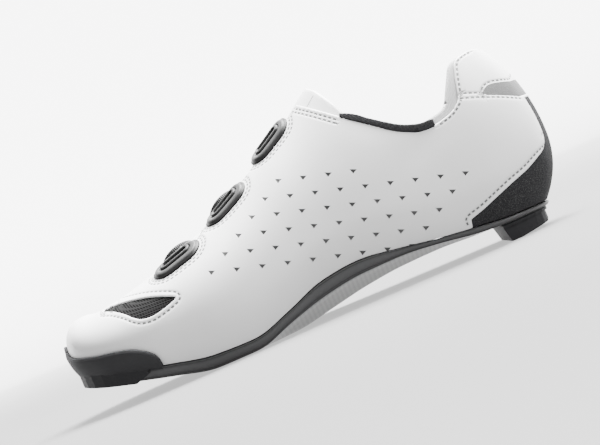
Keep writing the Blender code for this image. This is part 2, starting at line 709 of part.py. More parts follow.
def clipped_plan(distance, first, last):
    """Return a closed plan outline of the shoe between two cross lines."""
    x, y, keep = plan_loop(distance, first, last)
    count = SIDE_COLUMNS
    medial = [(a, b) for a, b, k in zip(x[:count + 1], y[:count + 1], keep) if k]
    lateral = [(a, b) for a, b, k in zip(x[count:], y[count:], keep[count:]) if k]
    for line, end in ((medial, first), (medial, last), (lateral, first), (lateral, last)):
        side_x = x[:count + 1] if line is medial else x[count:][::-1]
        side_y = y[:count + 1] if line is medial else y[count:][::-1]
        if side_x.min() < end < side_x.max():
            point = (end, float(np.interp(end, side_x, side_y)))
            if line is medial:
                line.insert(0 if end == first else len(line), point)
            else:
                line.insert(len(line) if end == first else 0, point)
    return medial + lateral


def make_toe_pad():
    """Make the toe's walking pad, a cup around the plate's front."""
    foot = np.array(foot_line(lift=-GAP))
    front, middle_x, rear, rear_top = (float(place_x(share)) for share in TOE_PAD_PLACES)
    top = [tuple(p) for p in foot if p[0] < rear_top]
    tip = TOE_SPRING + PLATE_DEPTH - TOE_PAD_DEPTH - GAP * 5
    heel_z = float(np.interp(rear, *foot.T)) - PLATE_DEPTH - GAP * 2
    rear_z = float(np.interp(rear_top, *foot.T))
    plan = clipped_plan(TOE_PAD_SIDE, front - 0.02, rear_top)
    pad = prism(plan, "Z", -0.02, 0.08)
    pad.name = "toe_pad"
    pad.hide_render = False
    pad.display_type = "TEXTURED"
    pad.data.materials.append(material("dark_rubber"))
    middle = (middle_x, (tip + heel_z) / 2 - GAP * 2)
    outline = [(front, top[0][1])] + top + [(rear_top, rear_z), (rear_top, rear_z - TOE_PAD_STEP),
                                            (rear, heel_z), middle, (front, tip + TOE_PAD_LIFT)]
    side_cut(pad, outline, "INTERSECT")
    return combine(pad, plate("room", GAP, 0.02), "DIFFERENCE")


def make_heel_pad():
    """Make the heel's walking pad: flange, leaning front, flat spot and rising base."""
    first, last = (float(place_x(share)) for share in HEEL_PAD_PLACES)
    top = KEEL_RISE * PLATES[-1][5] - GAP
    plan = clipped_plan(-HEEL_PAD_INSET, first, last)
    pad = prism(plan, "Z", -0.01, 0.03)
    pad.name = "heel_pad"
    pad.hide_render = False
    pad.display_type = "TEXTURED"
    pad.data.materials.append(material("dark_rubber"))
    flat_end = first + HEEL_PAD_LEAN + HEEL_PAD_FLAT
    rise = (last - flat_end) * math.tan(HEEL_PAD_TILT)
    outline = [(first - 0.01, top), (first, top), (first + HEEL_PAD_LEAN, 0.0), (flat_end, 0.0),
               (last - HEEL_PAD_REAR, rise), (last, top - HEEL_PAD_FLANGE - HEEL_PAD_CHAMFER),
               (last + 0.01, top)]
    side_cut(pad, outline[1:-1] + [(last, top)], "INTERSECT")
    belt = prism(clipped_plan(-HEEL_PAD_INSET + SIDE_REACH, first - 0.1, last + 0.1),
                 "Z", -0.005, top - HEEL_PAD_FLANGE)
    core = prism(clipped_plan(-HEEL_PAD_INSET - HEEL_PAD_LIP, first - 0.1, last - 0.0005),
                 "Z", -0.02, 0.05)
    combine(belt, core, "DIFFERENCE")
    return combine(pad, belt, "DIFFERENCE")


def surface_frame(share, side, offset):
    """Return a point on the last, its normal and the direction up the instep there."""
    w = np.linspace(3, 12, 721)
    t = np.linspace(SPLIT, 0.999, 331)
    loop_w = w if side == "medial" else 2 * LAST - w
    ww, tt = np.meshgrid(loop_w, t)
    points = last_point(ww, tt)
    ridge = np.interp(float(place_x(share)), LOOPS["ridge_x"][:LAST], LOOPS["ridge_y"][:LAST])
    sign = -1.0 if side == "medial" else 1.0
    miss = (points[..., 0] - float(place_x(share))) ** 2 \
        + (points[..., 1] - ridge - sign * offset * BALL_WIDTH) ** 2
    best = np.unravel_index(np.argmin(miss), miss.shape)
    normal = last_normal(ww[best], tt[best])
    step = 0.05 if side == "medial" else -0.05
    along = last_point(ww[best] + step, tt[best]) - points[best]
    along -= normal * np.dot(along, normal)
    along /= np.linalg.norm(along)
    return points[best], normal, along


def local_prism(frame, outline, low, high):
    """Extrude an outline, given along the instep and across, along the normal."""
    origin, normal, along = frame
    across = np.cross(normal, along)
    count = len(outline)
    vertices = [origin + along * a + across * b + normal * h
                for h in (low, high) for a, b in outline]
    faces = [tuple(range(count)), tuple(range(2 * count - 1, count - 1, -1))]
    for i in range(count):
        j = (i + 1) % count
        faces.append((i, j, count + j, count + i))
    return new_object("local", vertices, faces, cutter=True)


def racetrack(length, width, sides=8):
    """Return an oblong outline with round ends."""
    radius = width / 2
    reach = length / 2 - radius
    angles = np.linspace(-math.pi / 2, math.pi / 2, sides + 1)
    right = [(reach + radius * math.cos(a), radius * math.sin(a)) for a in angles]
    left = [(-reach - radius * math.cos(a), -radius * math.sin(a)) for a in angles]
    return right + left


def make_guide(name, frame):
    """Make an oblong lace guide: a band, a raised inner ring and the slot."""
    reach = GUIDE_WIDTH
    guide = shell(name, GAP + GUIDE_THICKNESS, GAP, "guide_grey")
    combine(guide, local_prism(frame, racetrack(GUIDE_LENGTH, GUIDE_WIDTH), -reach, reach),
            "INTERSECT")
    inner = shell("inner", GAP + GUIDE_THICKNESS + GUIDE_STEP, GAP * 2, "guide_grey")
    ring = racetrack(GUIDE_LENGTH - 2 * GUIDE_BAND, GUIDE_WIDTH - 2 * GUIDE_BAND)
    combine(inner, local_prism(frame, ring, -reach, reach), "INTERSECT")
    combine(guide, inner, "UNION")
    slot = local_prism(frame, racetrack(SLOT_LENGTH, SLOT_WIDTH, 4), -reach, reach)
    return combine(guide, slot, "DIFFERENCE")


def circle(radius, sides=ROUND_SIDES, teeth=0.0):
    """Return a round outline; teeth is how far every second point stands back."""
    angles = np.linspace(0, 2 * math.pi, sides, endpoint=False)
    reach = radius - teeth * (np.arange(sides) % 2)
    return list(zip(reach * np.cos(angles), reach * np.sin(angles)))


def make_dial(number, frame):
    """Make a lace dial on the outer eyestay: its base and its knurled knob."""
    reach = DIAL_BASE_RADIUS
    base = local_prism(frame, circle(DIAL_BASE_RADIUS), -reach, DIAL_BASE_HEIGHT)
    base.name = f"dial_base_{number}"
    base.hide_render = False
    base.display_type = "TEXTURED"
    base.data.materials.append(material("dial_dark"))
    combine(base, form("seat", GAP), "DIFFERENCE")
    knob = local_prism(frame, circle(DIAL_RADIUS, ROUND_SIDES * 2, LACE_RADIUS),
                       DIAL_BASE_HEIGHT + GAP, DIAL_BASE_HEIGHT + GAP + DIAL_HEIGHT)
    knob.name = f"dial_knob_{number}"
    knob.hide_render = False
    knob.display_type = "TEXTURED"
    knob.data.materials.append(material("dial_dark"))
    return base, knob


def inner_edge(frame, half):
    """Return the plan Y of a fitting's throat-side edge, half its width away."""
    origin, normal, along = frame
    across = np.cross(normal, along)
    reach = half * abs(across[1]) + LACE_RADIUS + LACE_GAP
    return float(origin[1] - math.copysign(reach, origin[1]))


def make_lace(number, share, medial_end, lateral_end):
    """Make one crossing: two strands over the tongue, joined by their turn."""
    centre = float(place_x(share))
    bow = LACE_SPREAD * LACE_BOW
    across = np.linspace(lateral_end, medial_end + bow, LACE_POINTS)
    bend = [(centre + LACE_SPREAD * math.cos(a), medial_end + bow * (1 - math.sin(a)))
            for a in np.linspace(0, math.pi, LACE_POINTS)[1:-1]]
    plan = [(centre + LACE_SPREAD, y) for y in across] + bend \
        + [(centre - LACE_SPREAD, y) for y in across[::-1]]
    lift = LACE_RADIUS + LACE_LIFT
    points = [(x, y, ridge_top(x, y) + lift) for x, y in plan]
    curve = bpy.data.curves.new(f"lace_{number}", "CURVE")
    curve.dimensions = "3D"
    curve.bevel_depth = LACE_RADIUS
    curve.bevel_resolution = 1
    curve.use_fill_caps = True
    line = curve.splines.new("POLY")
    line.points.add(len(points) - 1)
    for point, place in zip(line.points, points):
        point.co = (*place, 1)
    item = bpy.data.objects.new(f"lace_{number}", curve)
    bpy.context.collection.objects.link(item)
    item.data.materials.append(material("lace"))
    return item


def ridge_top(x, y):
    """Return the height of the last's top at a plan position near the ridge."""
    side = 1.0 if y < np.interp(x, LOOPS["ridge_x"][:LAST], LOOPS["ridge_y"][:LAST]) else -1.0
    w = np.linspace(3, 12, 361) * side
    t = np.linspace(0.5, 1.0, 201)
    ww, tt = np.meshgrid(w, t)
    points = last_point(ww, tt)
    miss = (points[..., 0] - x) ** 2 + (points[..., 1] - y) ** 2
    return float(points[..., 2][np.unravel_index(np.argmin(miss), miss.shape)])


def make_closure():
    """Make guides, dials and laces from the table of closures."""
    for number, (share, offset, far_offset) in enumerate(CLOSURES, start=1):
        near = surface_frame(share, "medial", offset)
        far = surface_frame(share, "lateral", far_offset)
        make_guide(f"lace_guide_{number}", near)
        if number < len(CLOSURES):
            make_dial(number, far)
            far_half = DIAL_BASE_RADIUS
        else:
            make_guide(f"lace_guide_{number + 1}", far)
            far_half = GUIDE_WIDTH / 2
        make_lace(number, share, inner_edge(near, GUIDE_WIDTH / 2), inner_edge(far, far_half))


def main():
    """Clear the scene and build the shoe."""
    for item in list(bpy.data.objects):
        bpy.data.objects.remove(item)
    make_outsole()
    make_upper()
    make_tongue()
    make_insole()
    make_toe_pad()
    make_heel_pad()
    make_guard()
    make_inlay("heel_counter", COUNTER_EDGE, COUNTER_DEPTH, "microfibre")
    make_inlay("heel_patch", PATCH_EDGE, PATCH_DEPTH, "reflective")
    make_vent_mesh("vent_mesh_medial", True)
    make_vent_mesh("vent_mesh_lateral", False)
    make_binding("collar_binding_medial", True)
    make_binding("collar_binding_lateral", False)
    make_lining()
    make_closure()


main()
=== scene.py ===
"""Looks of a road cycling shoe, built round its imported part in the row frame, in metres.

Toe towards -X, heel towards +X, inner (medial) side towards -Y, +Z up.
"""
import logging
import math
from dataclasses import dataclass, field
from enum import Enum
from typing import Any, Iterable, Sequence

import bpy
import numpy as np
from mathutils import Matrix


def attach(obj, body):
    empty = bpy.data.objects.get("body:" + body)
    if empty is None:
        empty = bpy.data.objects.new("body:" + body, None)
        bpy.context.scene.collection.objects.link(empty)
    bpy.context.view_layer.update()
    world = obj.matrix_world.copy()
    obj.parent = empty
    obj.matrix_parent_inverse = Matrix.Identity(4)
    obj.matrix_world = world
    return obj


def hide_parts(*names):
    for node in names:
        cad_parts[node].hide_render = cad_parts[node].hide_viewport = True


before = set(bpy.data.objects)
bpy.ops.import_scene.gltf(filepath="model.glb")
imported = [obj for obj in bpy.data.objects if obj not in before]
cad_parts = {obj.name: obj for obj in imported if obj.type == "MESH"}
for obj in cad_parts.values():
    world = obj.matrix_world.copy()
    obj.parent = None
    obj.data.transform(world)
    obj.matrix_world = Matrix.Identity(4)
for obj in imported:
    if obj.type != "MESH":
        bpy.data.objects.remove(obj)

Array = np.ndarray
Socket = Any
MM = 0.001

# Main sizes of the last, as in the part
LENGTH = 0.288
BALL_WIDTH = 0.099
HEEL_WIDTH = 0.0685
TOE_HEIGHT = 0.0536
INSTEP_HEIGHT = 0.1175
HEEL_HEIGHT = 0.1044
CLEAT_SEAT = 0.302
WALL = 0.002
GAP = 0.0003
TOE_SPRING = 0.0183
ARCH_RISE = 0.0163
KEEL_RISE = 0.0111
PLATE_DEPTH = 0.0072

# Sections of the last from the toe tip to the back of the heel
SECTION_COLUMNS = ("medial_x", "medial_y", "lateral_x", "lateral_y", "heel_mix",
                   "ridge_x", "ridge_y", "toe", "instep", "heel")
SECTIONS = (
    (0.009, -0.101, 0.009, -0.101, 0.00, 0.047, -0.100, 1.00, 0.000, 0.000),
    (0.025, -0.247, 0.021, 0.056, 0.00, 0.058, -0.096, 1.00, 0.000, 0.000),
    (0.061, -0.348, 0.054, 0.187, 0.00, 0.078, -0.091, 0.98, 0.000, 0.000),
    (0.117, -0.409, 0.106, 0.293, 0.00, 0.117, -0.086, 1.006, 0.000, 0.000),
    (0.186, -0.434, 0.179, 0.384, 0.00, 0.179, -0.076, 0.54, 0.245, 0.000),
    (0.262, -0.436, 0.262, 0.449, 0.00, 0.245, -0.056, 0.30, 0.408, 0.000),
    (0.339, -0.414, 0.346, 0.475, 0.00, 0.315, -0.035, 0.10, 0.563, 0.000),
    (0.419, -0.359, 0.429, 0.465, 0.00, 0.384, -0.020, 0.00, 0.698, 0.000),
    (0.495, -0.334, 0.509, 0.473, 0.30, 0.457, -0.010, 0.00, 0.807, 0.000),
    (0.572, -0.335, 0.585, 0.477, 0.60, 0.530, 0.000, 0.00, 0.917, 0.000),
    (0.648, -0.362, 0.658, 0.486, 0.85, 0.599, 0.000, 0.00, 1.038, 0.000),
    (0.724, -0.394, 0.731, 0.489, 1.00, 0.669, 0.000, 0.00, 0.570, 0.642),
    (0.797, -0.401, 0.801, 0.460, 1.00, 0.724, 0.000, 0.00, 0.200, 1.106),
    (0.863, -0.380, 0.863, 0.416, 1.00, 0.763, 0.003, 0.00, 0.000, 1.322),
    (0.915, -0.292, 0.915, 0.314, 1.00, 0.787, 0.007, 0.00, 0.000, 1.274),
    (0.945, -0.153, 0.945, 0.175, 1.00, 0.797, 0.010, 0.00, 0.000, 1.245),
    (0.954, 0.012, 0.954, 0.012, 1.00, 0.801, 0.012, 0.00, 0.000, 1.226),
)
BELLY_COLUMNS = ("medial_bulge", "lateral_bulge", "widest", "round")
BELLIES = (
    (0.0090, 0.0090, 0.43, 2.1),
    (0.0104, 0.0097, 0.43, 2.1),
    (0.0122, 0.0111, 0.42, 2.1),
    (0.0146, 0.0132, 0.42, 2.1),
    (0.0160, 0.0146, 0.42, 2.1),
    (0.0156, 0.0146, 0.40, 2.2),
    (0.0160, 0.0139, 0.36, 2.3),
    (0.0194, 0.0132, 0.33, 2.3),
    (0.0236, 0.0132, 0.31, 2.3),
    (0.0250, 0.0139, 0.28, 2.2),
    (0.0243, 0.0146, 0.25, 2.1),
    (0.0208, 0.0153, 0.20, 2.0),
    (0.0180, 0.0160, 0.19, 2.0),
    (0.0200, 0.0194, 0.21, 2.0),
    (0.0310, 0.0310, 0.27, 2.0),
    (0.0440, 0.0440, 0.31, 2.0),
    (0.0505, 0.0505, 0.325, 2.0),
)
PLATE_COLUMNS = ("spring", "medial_arch", "lateral_arch", "medial_depth", "lateral_depth",
                 "keel")
PLATES = (
    (1.00, 0.00, 0.00, 1.00, 1.00, 0.00),
    (0.96, 0.00, 0.00, 1.00, 1.00, 0.00),
    (0.79, 0.00, 0.00, 1.00, 1.00, 0.00),
    (0.55, 0.00, 0.00, 1.00, 1.00, 0.00),
    (0.28, 0.00, 0.00, 1.00, 1.00, 0.00),
    (0.00, 0.03, 0.03, 1.04, 1.04, 0.00),
    (0.00, 0.03, 0.00, 0.94, 1.00, 0.00),
    (0.00, 0.45, 0.12, 0.89, 0.97, 0.06),
    (0.00, 0.80, 0.34, 1.15, 0.97, 0.40),
    (0.00, 0.98, 0.52, 1.07, 0.90, 0.75),
    (0.00, 1.00, 0.64, 0.65, 0.72, 0.95),
    (0.00, 0.88, 0.66, 0.44, 0.61, 1.00),
    (0.00, 0.69, 0.65, 0.54, 0.50, 0.91),
    (0.00, 0.615, 0.615, 0.44, 0.44, 0.90),
    (0.00, 0.615, 0.615, 0.39, 0.39, 0.90),
    (0.00, 0.615, 0.615, 0.35, 0.35, 0.90),
    (0.00, 0.615, 0.615, 0.33, 0.33, 0.90),
)
LAST = len(SECTIONS) - 1
TURNS = 2 * LAST
SPLIT = 0.34
BELLY_POWER = 2.3
SPINE_START = 1.4

# Side-view outlines: share of LENGTH from the toe, share of a height
GUARD_EDGE = ((-0.10, 0.793), (0.0015, 0.793), (0.0075, 0.668), (0.054, 0.593),
              (0.090, 0.562), (0.124, 0.521), (0.148, 0.455), (0.163, 0.384),
              (0.168, 0.320), (0.170, 0.10), (-0.10, 0.10))
VENT_EDGE = ((0.094, 0.972), (0.120, 0.985), (0.150, 0.972), (0.186, 0.938),
             (0.221, 0.875), (0.239, 0.821), (0.223, 0.776), (0.191, 0.733),
             (0.167, 0.741), (0.152, 0.785), (0.137, 0.856), (0.116, 0.927))
COUNTER_EDGE = ((0.789, -0.20), (0.789, 0.148), (0.792, 0.193), (0.824, 0.220),
                (0.858, 0.254), (0.892, 0.287), (0.928, 0.317), (0.959, 0.353),
                (0.987, 0.379), (1.10, 0.400), (1.10, -0.20))
COUNTER_TOP = 0.665
STRIP_HALF = 0.0150
PATCH_EDGE = ((0.910, 0.748), (0.914, 0.766), (0.924, 0.780), (0.940, 0.776),
              (0.970, 0.756), (1.10, 0.756), (1.10, 0.664), (0.974, 0.674))
COLLAR_EDGE = ((0.647, 0.933), (0.690, 0.842), (0.724, 0.768), (0.748, 0.731),
               (0.771, 0.707), (0.801, 0.705), (0.835, 0.727), (0.852, 0.755),
               (0.862, 0.783), (0.866, 0.820), (0.876, 0.913), (0.884, 0.964),
               (0.898, 0.987), (0.922, 0.998), (0.937, 0.996), (0.946, 0.980))
COLLAR_TOP = ((0.645, 0.958), (0.670, 0.922), (0.690, 0.876), (0.710, 0.834),
              (0.724, 0.806), (0.744, 0.772), (0.771, 0.744), (0.791, 0.739),
              (0.818, 0.751), (0.833, 0.768), (0.842, 0.802), (0.853, 0.857),
              (0.867, 0.922), (0.877, 0.964), (0.891, 0.982), (0.905, 0.987),
              (0.938, 0.987))
EYESTAY_TOP = (0.582, 0.966)
BINDING_END = 0.801
TONGUE_RIM = ((0.560, 1.20), (0.602, 1.048), (0.616, 1.010), (0.628, 0.960),
              (0.641, 0.900), (0.650, 0.838), (0.645, 0.795), (0.600, 0.700))
TONGUE_FRONT = 0.170
TONGUE_HALF_WIDTH = 0.0215
THROAT_FRONT = 0.198
THROAT_HALF_WIDTH = 0.0075
SCALLOP = 0.0012
CLOSURES = ((0.261, 0.200, 0.305), (0.384, 0.125, 0.228), (0.506, 0.064, 0.150))
TAB_SEAM = ((0.862, 0.792), (0.880, 0.776), (0.907, 0.748), (0.935, 0.718), (0.974, 0.670))

# Fineness of the surfaces: columns round the shoe, rows from foot line to ridge
COLUMNS = 560
ROWS = 140
COARSE = (300, 74)
SAMPLES = 4096
BLUR_REACH = 48
BLUR = 16

# Outlines run out past the shoe to this share of its length and to this height
BEYOND = 1.2
ABOVE = 0.2

# Guides, and stitch rows off the edges they follow
GUIDE_LENGTH = 0.031
GUIDE_WIDTH = 0.019
INNER_ROW = 1.6 * MM
OUTER_ROW = 3.6 * MM
VENT_ROW = 2.0 * MM
PATCH_ROW = 2.3 * MM
COUNTER_ROW = (-0.0012, 0.0016)
EYESTAY_ROWS = (2.0 * MM, 4.0 * MM)
TAB_ROWS = (-1.0 * MM, 1.8 * MM)
LINING_ROW = 1.1 * MM
STRIP_ROW = 1.5 * MM

# Inlays reach this far under the edges over them; the vents keep off the ridge, which is
# read there up to this section with this many samples
LAP = 0.0012
COUNTER_DEPTH = 0.35 * MM
FILM_DEPTH = 0.40 * MM
MESH_DEPTH = 0.9 * MM
OFF_RIDGE = 0.004
VENT_RIDGE = (8, 200)

# Thickness of the soft and rubber parts, the lining's swell, and the tongue's drawn seam
LINING_THICK = 0.0036
LINING_SWELL = 0.8 * MM
TONGUE_THICK = 0.0040
TONGUE_SEAM = ((0.0835, 0.1115), (0.0900, 0.1165))
GUARD_THICK = 0.0024
GUARD_FOLD = 0.0018


class Side(Enum):
    """The two sides of the shoe."""

    MEDIAL = -1
    LATERAL = 1


def place_x(share: Any) -> Any:
    """Return X for a share of the length from the toe."""
    return (np.asarray(share, dtype=float) - CLEAT_SEAT) * LENGTH


def side_outline(shares: Sequence[tuple[float, float]], height: float) -> Array:
    """Turn side-view shares into (x, z) points in metres."""
    table = np.array(shares, dtype=float)
    return np.stack([place_x(table[:, 0]), table[:, 1] * height], axis=1)


def smooth_line(points: Array, steps: int = 6, closed: bool = False) -> Array:
    """Pass a smooth curve through points: cubic pieces, sloped by each point's neighbours.

    Args:
        points: Corners, one per row.
        steps: New points per corner.
        closed: Whether the line runs back to its start.

    Returns:
        The finer line.
    """
    corners = np.asarray(points, dtype=float)
    count = len(corners)
    where = np.arange(0, count if closed else count - 1, 1 / steps)
    low = np.floor(where).astype(int)
    t = (where - low)[:, None]
    index = [low + k for k in (-1, 0, 1, 2)]
    index = [i % count if closed else np.clip(i, 0, count - 1) for i in index]
    p0, p1, p2, p3 = (corners[i] for i in index)
    curve = 0.5 * (2 * p1 + (p2 - p0) * t + (2 * p0 - 5 * p1 + 4 * p2 - p3) * t**2
                   + (3 * p1 - p0 - 3 * p2 + p3) * t**3)
    return curve if closed else np.concatenate([curve, corners[-1:]])


def grown(points: Array, distance: float) -> Array:
    """Move a closed outline out along its corner normals."""
    area = np.sum(points[:, 0] * np.roll(points[:, 1], -1)
                  - np.roll(points[:, 0], -1) * points[:, 1])
    ahead = np.roll(points, -1, axis=0) - np.roll(points, 1, axis=0)
    ahead /= np.linalg.norm(ahead, axis=1, keepdims=True)
    normal = np.stack([ahead[:, 1], -ahead[:, 0]], axis=1) * np.sign(area)
    return points + normal * distance


def inside_distance(points: Array, outline: Array) -> Array:
    """Return the distance from a closed 2-D outline, positive inside it.

    Args:
        points: Points, one (x, y) per row.
        outline: Corners of the outline.

    Returns:
        One signed distance for each point.
    """
    best = np.full(len(points), np.inf)
    within = np.zeros(len(points), dtype=bool)
    px, py = points[:, 0], points[:, 1]
    for (ax, ay), (bx, by) in zip(outline, np.roll(outline, -1, axis=0)):
        dx, dy = bx - ax, by - ay
        size = dx * dx + dy * dy
        if size < 1e-16:
            continue
        share = np.clip(((px - ax) * dx + (py - ay) * dy) / size, 0, 1)
        gap = (px - ax - dx * share) ** 2 + (py - ay - dy * share) ** 2
        best = np.minimum(best, gap)
        if ay != by:
            cross = ((ay > py) != (by > py)) & (px < dx * (py - ay) / dy + ax)
            within ^= cross
    return np.sqrt(best) * np.where(within, 1, -1)


def smoothstep(low: float, high: float, value: Array) -> Array:
    """Return a soft step from 0 at low to 1 at high."""
    t = np.clip((value - low) / (high - low), 0, 1)
    return t * t * (3 - 2 * t)


def unit(vectors: Array) -> Array:
    """Return vectors scaled to length one."""
    return vectors / np.maximum(np.linalg.norm(vectors, axis=-1, keepdims=True), 1e-12)


@dataclass
class Patch:
    """A triangle mesh with normals and named values at its points.

    Attributes:
        points: One place per row.
        normals: One outward normal per row.
        faces: Three point numbers per row.
        fields: Named values, one per point.
    """

    points: Array
    normals: Array
    faces: Array
    fields: dict[str, Array] = field(default_factory=dict)

    def chosen(self, arrays: dict[str, Array], faces: Array) -> "Patch":
        """Return a patch of given arrays that keeps only the points in use."""
        used, flat = np.unique(faces, return_inverse=True)
        arrays = {name: value[used] for name, value in arrays.items()}
        rest = {k: v for k, v in arrays.items() if k not in ("points", "normals")}
        return Patch(arrays["points"], arrays["normals"], flat.reshape(-1, 3), rest)

    def arrays(self) -> dict[str, Array]:
        """Return all the values that points carry."""
        return {"points": self.points, "normals": self.normals, **self.fields}

    def clipped(self, value: Array) -> "Patch":
        """Keep the part where value is positive; triangles are cut on the line.

        New points lie where the value, taken as linear along each edge, is zero.
        """
        total = len(self.points)
        inside = value[self.faces] > 0
        count = inside.sum(axis=1)
        turn = np.arange(3)
        one = self.faces[count == 1]
        first = np.argmax(inside[count == 1], axis=1)
        one = np.take_along_axis(one, (first[:, None] + turn) % 3, axis=1)
        two = self.faces[count == 2]
        first = np.argmin(inside[count == 2], axis=1)
        two = np.take_along_axis(two, (first[:, None] + turn) % 3, axis=1)
        starts = np.concatenate([one[:, 0], one[:, 0], two[:, 1], two[:, 2]])
        ends = np.concatenate([one[:, 1], one[:, 2], two[:, 0], two[:, 0]])
        keys, index = np.unique(starts * total + ends, return_inverse=True)
        a, b = keys // total, keys % total
        share = value[a] / np.maximum(value[a] - value[b], 1e-12)
        made = index + total
        n, m = len(one), len(two)
        p1, p2, q1, q2 = np.split(made, [n, 2 * n, 2 * n + m])
        faces = np.concatenate([
            self.faces[count == 3], np.stack([one[:, 0], p1, p2], axis=1),
            np.stack([q1, two[:, 1], two[:, 2]], axis=1), np.stack([q1, two[:, 2], q2], axis=1),
        ])
        arrays = {}
        for name, old in self.arrays().items():
            part = share.reshape((-1,) + (1,) * (old.ndim - 1))
            arrays[name] = np.concatenate([old, old[a] + (old[b] - old[a]) * part])
        return self.chosen(arrays, faces)

    def rim(self, keep: Array | None = None) -> Array:
        """Return the half-edges used once; keep says which points may take part."""
        half = np.concatenate([self.faces[:, [0, 1]], self.faces[:, [1, 2]],
                               self.faces[:, [2, 0]]])
        total = len(self.points)
        alone = ~np.isin(half[:, 0] * total + half[:, 1], half[:, 1] * total + half[:, 0])
        half = half[alone]
        return half if keep is None else half[keep[half].all(axis=1)]

    def folded(self, depth: float, bulge: float = 0.5, rows: int = 4,
               keep: Array | None = None) -> "Patch":
        """Turn the free edge down: a half ellipse from the face to depth below it.

        Args:
            depth: How deep the fold goes below the face.
            bulge: Its outward reach as a share of half the depth.
            rows: Rows of faces in the fold.
            keep: Which points may take part.

        Returns:
            The patch with the fold joined on.
        """
        edges = self.rim(keep)
        ids, local = np.unique(edges, return_inverse=True)
        local = local.reshape(-1, 2)
        outward = self.outward(edges, ids, local)
        normal = self.normals[ids]
        base = self.points[ids]
        arrays = {name: [value] for name, value in self.arrays().items()}
        faces = [self.faces]
        previous = ids[local]
        for row in range(1, rows + 1):
            turn = math.pi * row / rows
            place = base + outward * (bulge * depth / 2 * math.sin(turn)) \
                - normal * (depth / 2 * (1 - math.cos(turn)))
            offset = len(self.points) + (row - 1) * len(ids)
            current = local + offset
            for name, value in self.arrays().items():
                arrays[name].append(value[ids])
            arrays["points"][-1] = place
            a, b = previous[:, 0], previous[:, 1]
            c, d = current[:, 0], current[:, 1]
            faces += [np.stack([b, a, c], axis=1), np.stack([b, c, d], axis=1)]
            previous = current
        joined = {name: np.concatenate(value) for name, value in arrays.items()}
        return self.chosen(joined, np.concatenate(faces))

    def outward(self, edges: Array, ids: Array, local: Array) -> Array:
        """Return for each rim point the direction off the edge, along the face."""
        tangent = self.points[edges[:, 1]] - self.points[edges[:, 0]]
        off = unit(np.cross(tangent, self.normals[edges[:, 0]]))
        total = np.zeros((len(ids), 3))
        np.add.at(total, local[:, 0], off)
        np.add.at(total, local[:, 1], off)
        return unit(total)

    def moved(self, distance: Any) -> "Patch":
        """Return the patch moved along its normals by one or many distances."""
        move = np.broadcast_to(np.asarray(distance, dtype=float), (len(self.points),))
        points = self.points + self.normals * move[:, None]
        return Patch(points, self.normals, self.faces, self.fields)

    def flipped(self) -> "Patch":
        """Return the patch seen from its other side."""
        return Patch(self.points, -self.normals, self.faces[:, ::-1], self.fields)

    def joined(self, other: "Patch") -> "Patch":
        """Return both patches as one, with the fields that both have."""
        faces = np.concatenate([self.faces, other.faces + len(self.points)])
        names = [name for name in self.fields if name in other.fields]
        fields = {n: np.concatenate([self.fields[n], other.fields[n]]) for n in names}
        return Patch(np.concatenate([self.points, other.points]),
                     np.concatenate([self.normals, other.normals]), faces, fields)

    def slab(self, outer: Any, inner: Any, bulge: float = 0.6, rows: int = 5) -> "Patch":
        """Return a closed layer between two distances off this face, round at its rim."""
        top = self.moved(outer)
        depth = float(np.mean(np.asarray(outer) - np.asarray(inner)))
        return top.folded(depth, bulge, rows).joined(self.moved(inner).flipped())

    def build(self, name: str, finish: Any, body: str = "root") -> Any:
        """Make the mesh object, with its fields as attributes, riding on a body."""
        mesh = bpy.data.meshes.new(name)
        count = len(self.faces)
        mesh.vertices.add(len(self.points))
        mesh.vertices.foreach_set("co", self.points.astype(np.float32).ravel())
        mesh.loops.add(3 * count)
        mesh.loops.foreach_set("vertex_index", self.faces.astype(np.int32).ravel())
        mesh.polygons.add(count)
        mesh.polygons.foreach_set("loop_start", np.arange(0, 3 * count, 3, dtype=np.int32))
        mesh.update(calc_edges=True)
        mesh.validate()
        mesh.shade_smooth()
        for label, value in self.fields.items():
            kind = "FLOAT_VECTOR" if value.ndim == 2 else "FLOAT"
            layer = mesh.attributes.new(label, kind, "POINT")
            slot = "vector" if value.ndim == 2 else "value"
            layer.data.foreach_set(slot, value.astype(np.float32).ravel())
        mesh.materials.append(finish.material())
        item = bpy.data.objects.new(name, mesh)
        bpy.context.scene.collection.objects.link(item)
        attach(item, body)
        logging.info("%s: %d triangles", name, count)
        return item


